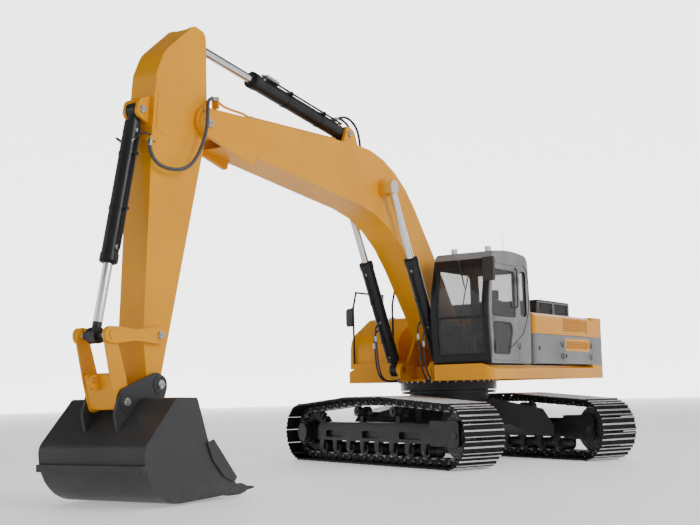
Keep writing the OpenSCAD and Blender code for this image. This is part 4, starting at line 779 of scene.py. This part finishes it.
# %% Cab trim
def cab_nose(z):
    """Front of the cab at a height: soft minimum of the lower and the upper line, k = 28 mm."""
    z = np.asarray(z, float)
    low, high, k = 1.475 + (z - 1.494) * 0.0988, 1.560 - (z - 2.354) * 0.2919, 0.028
    return -k * np.log(np.exp(-low / k) + np.exp(-high / k))
def on_cab_side(points, steps):
    """Smooth line on the cab's left side, through points in X and Z."""
    return smooth_path([(x, 1.492, z) for x, z in points], steps)
wiper, seal = Shape(), Shape()
screen_y = (0.632, 1.405)
for y in screen_y:
    z = np.linspace(1.63, 2.91, 40)
    tube(seal, np.column_stack([cab_nose(z) + 0.001, np.full(40, y), z]), 0.010, 8)
for z in (1.626, 2.912):
    y = np.linspace(*screen_y, 12)
    tube(seal, np.column_stack([np.full(12, cab_nose(z) + 0.001), y, np.full(12, z)]), 0.010, 8)
lay_out("screen_seal", seal, "upper", seal_rubber)
z = np.linspace(3.02, 2.60, 20)
tube(wiper, np.column_stack([cab_nose(z) + 0.040, np.linspace(0.98, 1.13, 20), z]), 0.009, 8)
z = np.linspace(2.86, 2.30, 24)
tube(wiper, np.column_stack([cab_nose(z) + 0.016, np.linspace(1.16, 1.10, 24), z]), 0.008, 8)
lathe(wiper, Place((cab_nose(3.02) - 0.02, 0.98, 3.02), (1, 0, 0), (0, 0, 1)),
      [(0, 0.026), (0.050, 0.026), (0.070, 0.016)], 20)
lay_out("wiper", wiper, "upper", black_plastic)
rear_arc = on_cab_side([(0.245, 3.02), (0.110, 2.90), (0.060, 2.595), (0.112, 2.262), (0.309, 1.971),
                        (0.462, 1.880)], 10)
lay_out("cab_line", tube(Shape(), rear_arc, 0.007, 8), "upper", seal_rubber)
door_line = on_cab_side([(0.500, 1.862), (0.600, 1.810), (0.700, 1.765), (0.790, 1.735)], 8)
lay_out("door_line", tube(Shape(), door_line, 0.007, 8), "cab_door", seal_rubber)
a = np.linspace(0, 2 * math.pi, 48, endpoint=False)
loop = np.column_stack([1.345 + 0.028 * np.cos(a), np.full(48, 1.494), 1.736 + 0.095 * np.sin(a)])
c, outwards = ring(10)[None], np.column_stack([np.cos(a), 0 * a, np.sin(a)])[:, None]
lip = loop[:, None] + 0.011 * (c[..., :1] * outwards + c[..., 1:] * np.array([0, 1, 0]))
lay_out("door_pull", Shape().rings(lip, close=True), "cab_door", black_plastic)
bar_line = ((1.490, 2.345), (1.524, 2.362), (1.528, 2.45), (1.528, 2.65), (1.528, 2.83), (1.524, 2.918),
            (1.490, 2.935))
bar = smooth_path([(0.556, y, z) for y, z in bar_line], 6)
lay_out("door_rail", tube(Shape(), bar, 0.011, 12), "cab_door", soot_paint)
mast = Shape()
lathe(mast, Place((0.30, 1.20, 3.185), (0, 0, 1), (1, 0, 0)),
      [(0, 0.030), (0.020, 0.030), (0.040, 0.010), (0.060, 0.006), (0.30, 0.003)], 16)
lay_out("antenna", mast, "upper", black_plastic)
plate = Shape()
turned = Place((0.700, -1.430, 2.34), (0.35, 1, 0), (0, 0, 1))
c = ring(40)
face = np.sign(c) * np.abs(c) ** 0.45 * (0.085, 0.150)
slab(plate, turned, face, -0.014, 0.014)
stem = [(0.655, -1.385, 2.48), (0.690, -1.400, 2.49), (0.705, -1.425, 2.47), (0.700, -1.430, 2.44)]
tube(plate, smooth_path(stem, 5), 0.010, 10)
lay_out("rail_mirror", plate, "upper", black_plastic, 0.004)

# %% [markdown]
# The seat is stuffed, so it is a crowned form: a superellipsoid with softened corners, whose sides pull
# in between them. Three such pads and a ribbed pedestal stand for the plain seat of the solids.

# %% Seat pads
def cushion(name, place, size, channels):
    """Pad: x, y ~ |cos|^0.4 round it and z ~ |sin|^0.7, pulled in by 5 percent, with sewn channels."""
    u = np.linspace(-math.pi / 2, math.pi / 2, 31)[:, None]
    v = np.linspace(0, 2 * math.pi, 72, endpoint=False)[None]
    power = lambda w, k: np.sign(w) * np.abs(w) ** k
    pull = 1 - 0.05 * np.cos(2 * v) ** 2
    reach = power(np.cos(u), 0.4)
    x, y = reach * power(np.cos(v), 0.4) * pull, reach * power(np.sin(v), 0.4) * pull
    z = power(np.sin(u), 0.7) * (1 - 0.10 * sum((np.exp(-((y - c) / 0.05) ** 2) for c in channels), 0 * y))
    pad = Shape().rings(place(np.stack([x, y, z], -1) * size), caps=False)
    made = lay_out(name, pad, "upper", seat_weave)
    return made
seat_y, seat_floor = 1.0185, 1.556
base_pad = cushion("seat_base", Place((0.680, seat_y, seat_floor + 0.330), (1, 0, -0.05)),
                   (0.235, 0.232, 0.062), (-0.6, 0.6))
cushion("seat_back", Place((0.472, seat_y, seat_floor + 0.660), (-0.17, 0, 1), (1, 0, 0.17)),
        (0.285, 0.228, 0.060), (-0.55, 0.55))
cushion("seat_head", Place((0.412, seat_y, seat_floor + 1.010), (-0.17, 0, 1), (1, 0, 0.17)),
        (0.085, 0.130, 0.045), ())
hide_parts("seat")
ribs = [(0.03 + 0.025 * k, 0.150 + 0.014 * (k % 2)) for k in range(9)]
stand = Place((0.670, seat_y, seat_floor), (0, 0, 1), (1, 0, 0))
pedestal = lathe(Shape(), stand, [(0, 0.165), *ribs, (0.262, 0.165)], 40)
lay_out("seat_pedestal", pedestal, "upper", black_plastic)
screen = Shape()
leant = Place((1.300, 0.700, 2.06), (0.3, -1, 0), (-0.2, 0, 1))
block(screen, leant, (-0.10, -0.018, -0.075), (0.10, 0.018, 0.075))
tube(screen, smooth_path([(1.315, 0.660, 1.60), (1.320, 0.665, 1.80), (1.310, 0.690, 2.00)], 6), 0.012, 10)
lay_out("monitor", screen, "upper", black_plastic, 0.004)

# %% [markdown]
# Under the deck, bolts tell the scale: rings of them at the slew bearing, the final drives and the idlers.

# %% Bolts of the undercarriage and slew ring
def nut_ring(shape, place, radius, count, nut_r, height):
    """Nuts at equal steps round a circle in the place's X-Z plane."""
    for a in np.linspace(0, 2 * math.pi, count, endpoint=False):
        nut(shape, place, (radius * math.cos(a), 0, radius * math.sin(a)), nut_r, height)
ring_bolts = Shape()
nut_ring(ring_bolts, Place((0, 0, 1.262), (1, 0, 0), (0, 1, 0)), 0.800, 40, 0.016, 0.022)
lay_out("slew_bolts", ring_bolts, "upper", pin_steel)
drive = Shape()
hubs = ((-axle_x, 1.559, 0.165, 14, 0.017), (axle_x, 1.395, 0.085, 8, 0.013))
for side in (1, -1):
    outward = np.array([-side * turn_sin, side * turn_cos, 0])
    for u, v, radius, count, nut_r in hubs:
        centre = np.array([u * turn_cos - side * v * turn_sin, u * turn_sin + side * v * turn_cos, axle_z])
        cover = [(-0.01, radius - 0.030), (0.010, radius - 0.030), (0.016, radius - 0.040),
                 (0.016, 0.4 * radius), (0.024, 0.34 * radius), (0.024, 0.05 * radius)]
        lathe(drive, Place(centre, outward, (0, 0, 1)), cover, 36)
        flat_face = Place(centre, np.cross(outward, (0, 0, 1)), (0, 0, 1))
        nut_ring(drive, flat_face, radius, count, nut_r, 0.014 * np.sign(flat_face.across @ outward))
lay_out("drive_bolts", drive, "undercarriage", frame_grey)

# %% [markdown]
# The stage is a round studio: a pale floor, a lit wall all round, and a large soft key from the front left.
# The wall is brightest behind the machine, so the picture's ground is white while dark steel stays dark.

# %% Stage and light
def stage_piece(name, shape, glow):
    """Pale piece of the studio; its glow blends from the first to the second value towards the far side."""
    white = Paint(name + "_white", Roughness=0.7)
    white.set("Base Color", white.blend(white.noise(0.4, 2), (0.86,) * 3, (0.88,) * 3))
    ahead = (white.axis("X") * float(forward[0]) + white.axis("Y") * float(forward[1])) / wall_r
    far_side = white.ramp(ahead, 0.66, 0.86)
    white.set("Emission Color", white.blend(far_side, (glow[0] / glow[1],) * 3, (1, 1, 1)))
    white.set("Emission Strength", glow[1])
    lay_out(name, shape, None, white.material)
wall_r, wall_top, wall_sides, hub = 80.0, 40.0, 48, 0.02
rim = np.column_stack([ring(wall_sides) * wall_r, np.zeros(wall_sides)])
floor_disc = Shape().rings(np.stack([rim * hub, rim]), caps=False)
floor_disc.add(rim * hub, [list(range(wall_sides))])
stage_piece("floor", floor_disc, (0.42, 0.42))
stage_piece("wall", Shape().rings(np.stack([rim, rim + (0, 0, wall_top)]), caps=False), (0.30, 3.0))
sky = bpy.data.worlds.new("studio")
sky.use_nodes = True
backdrop = sky.node_tree.nodes["Background"].inputs
backdrop["Color"].default_value, backdrop["Strength"].default_value = (1, 1, 1, 1), 0.14
bpy.context.scene.world = sky
def soft_light(name, at, aim, size, watts):
    """Square area light that looks from one point to another."""
    lamp = bpy.data.lights.new(name, "AREA")
    lamp.size, lamp.energy = size, watts
    made = bpy.data.objects.new(name, lamp)
    way = np.asarray(at, float) - np.asarray(aim, float)
    own = Place(at, np.cross((0, 0, 1), way), way)
    rows = [[own.along[k], own.across[k], own.up[k], at[k]] for k in range(3)]
    made.matrix_world = Matrix(rows + [[0, 0, 0, 1]])
    bpy.context.scene.collection.objects.link(made)
soft_light("key", (7, 20, 12), (2, 0, 2), 8, 1900)
soft_light("fill", (18, -8, 8), (4, 0, 2), 9, 160)
soft_light("crown", (0, 6, 16), (0, 0, 2), 10, 750)
print("lights", 3)
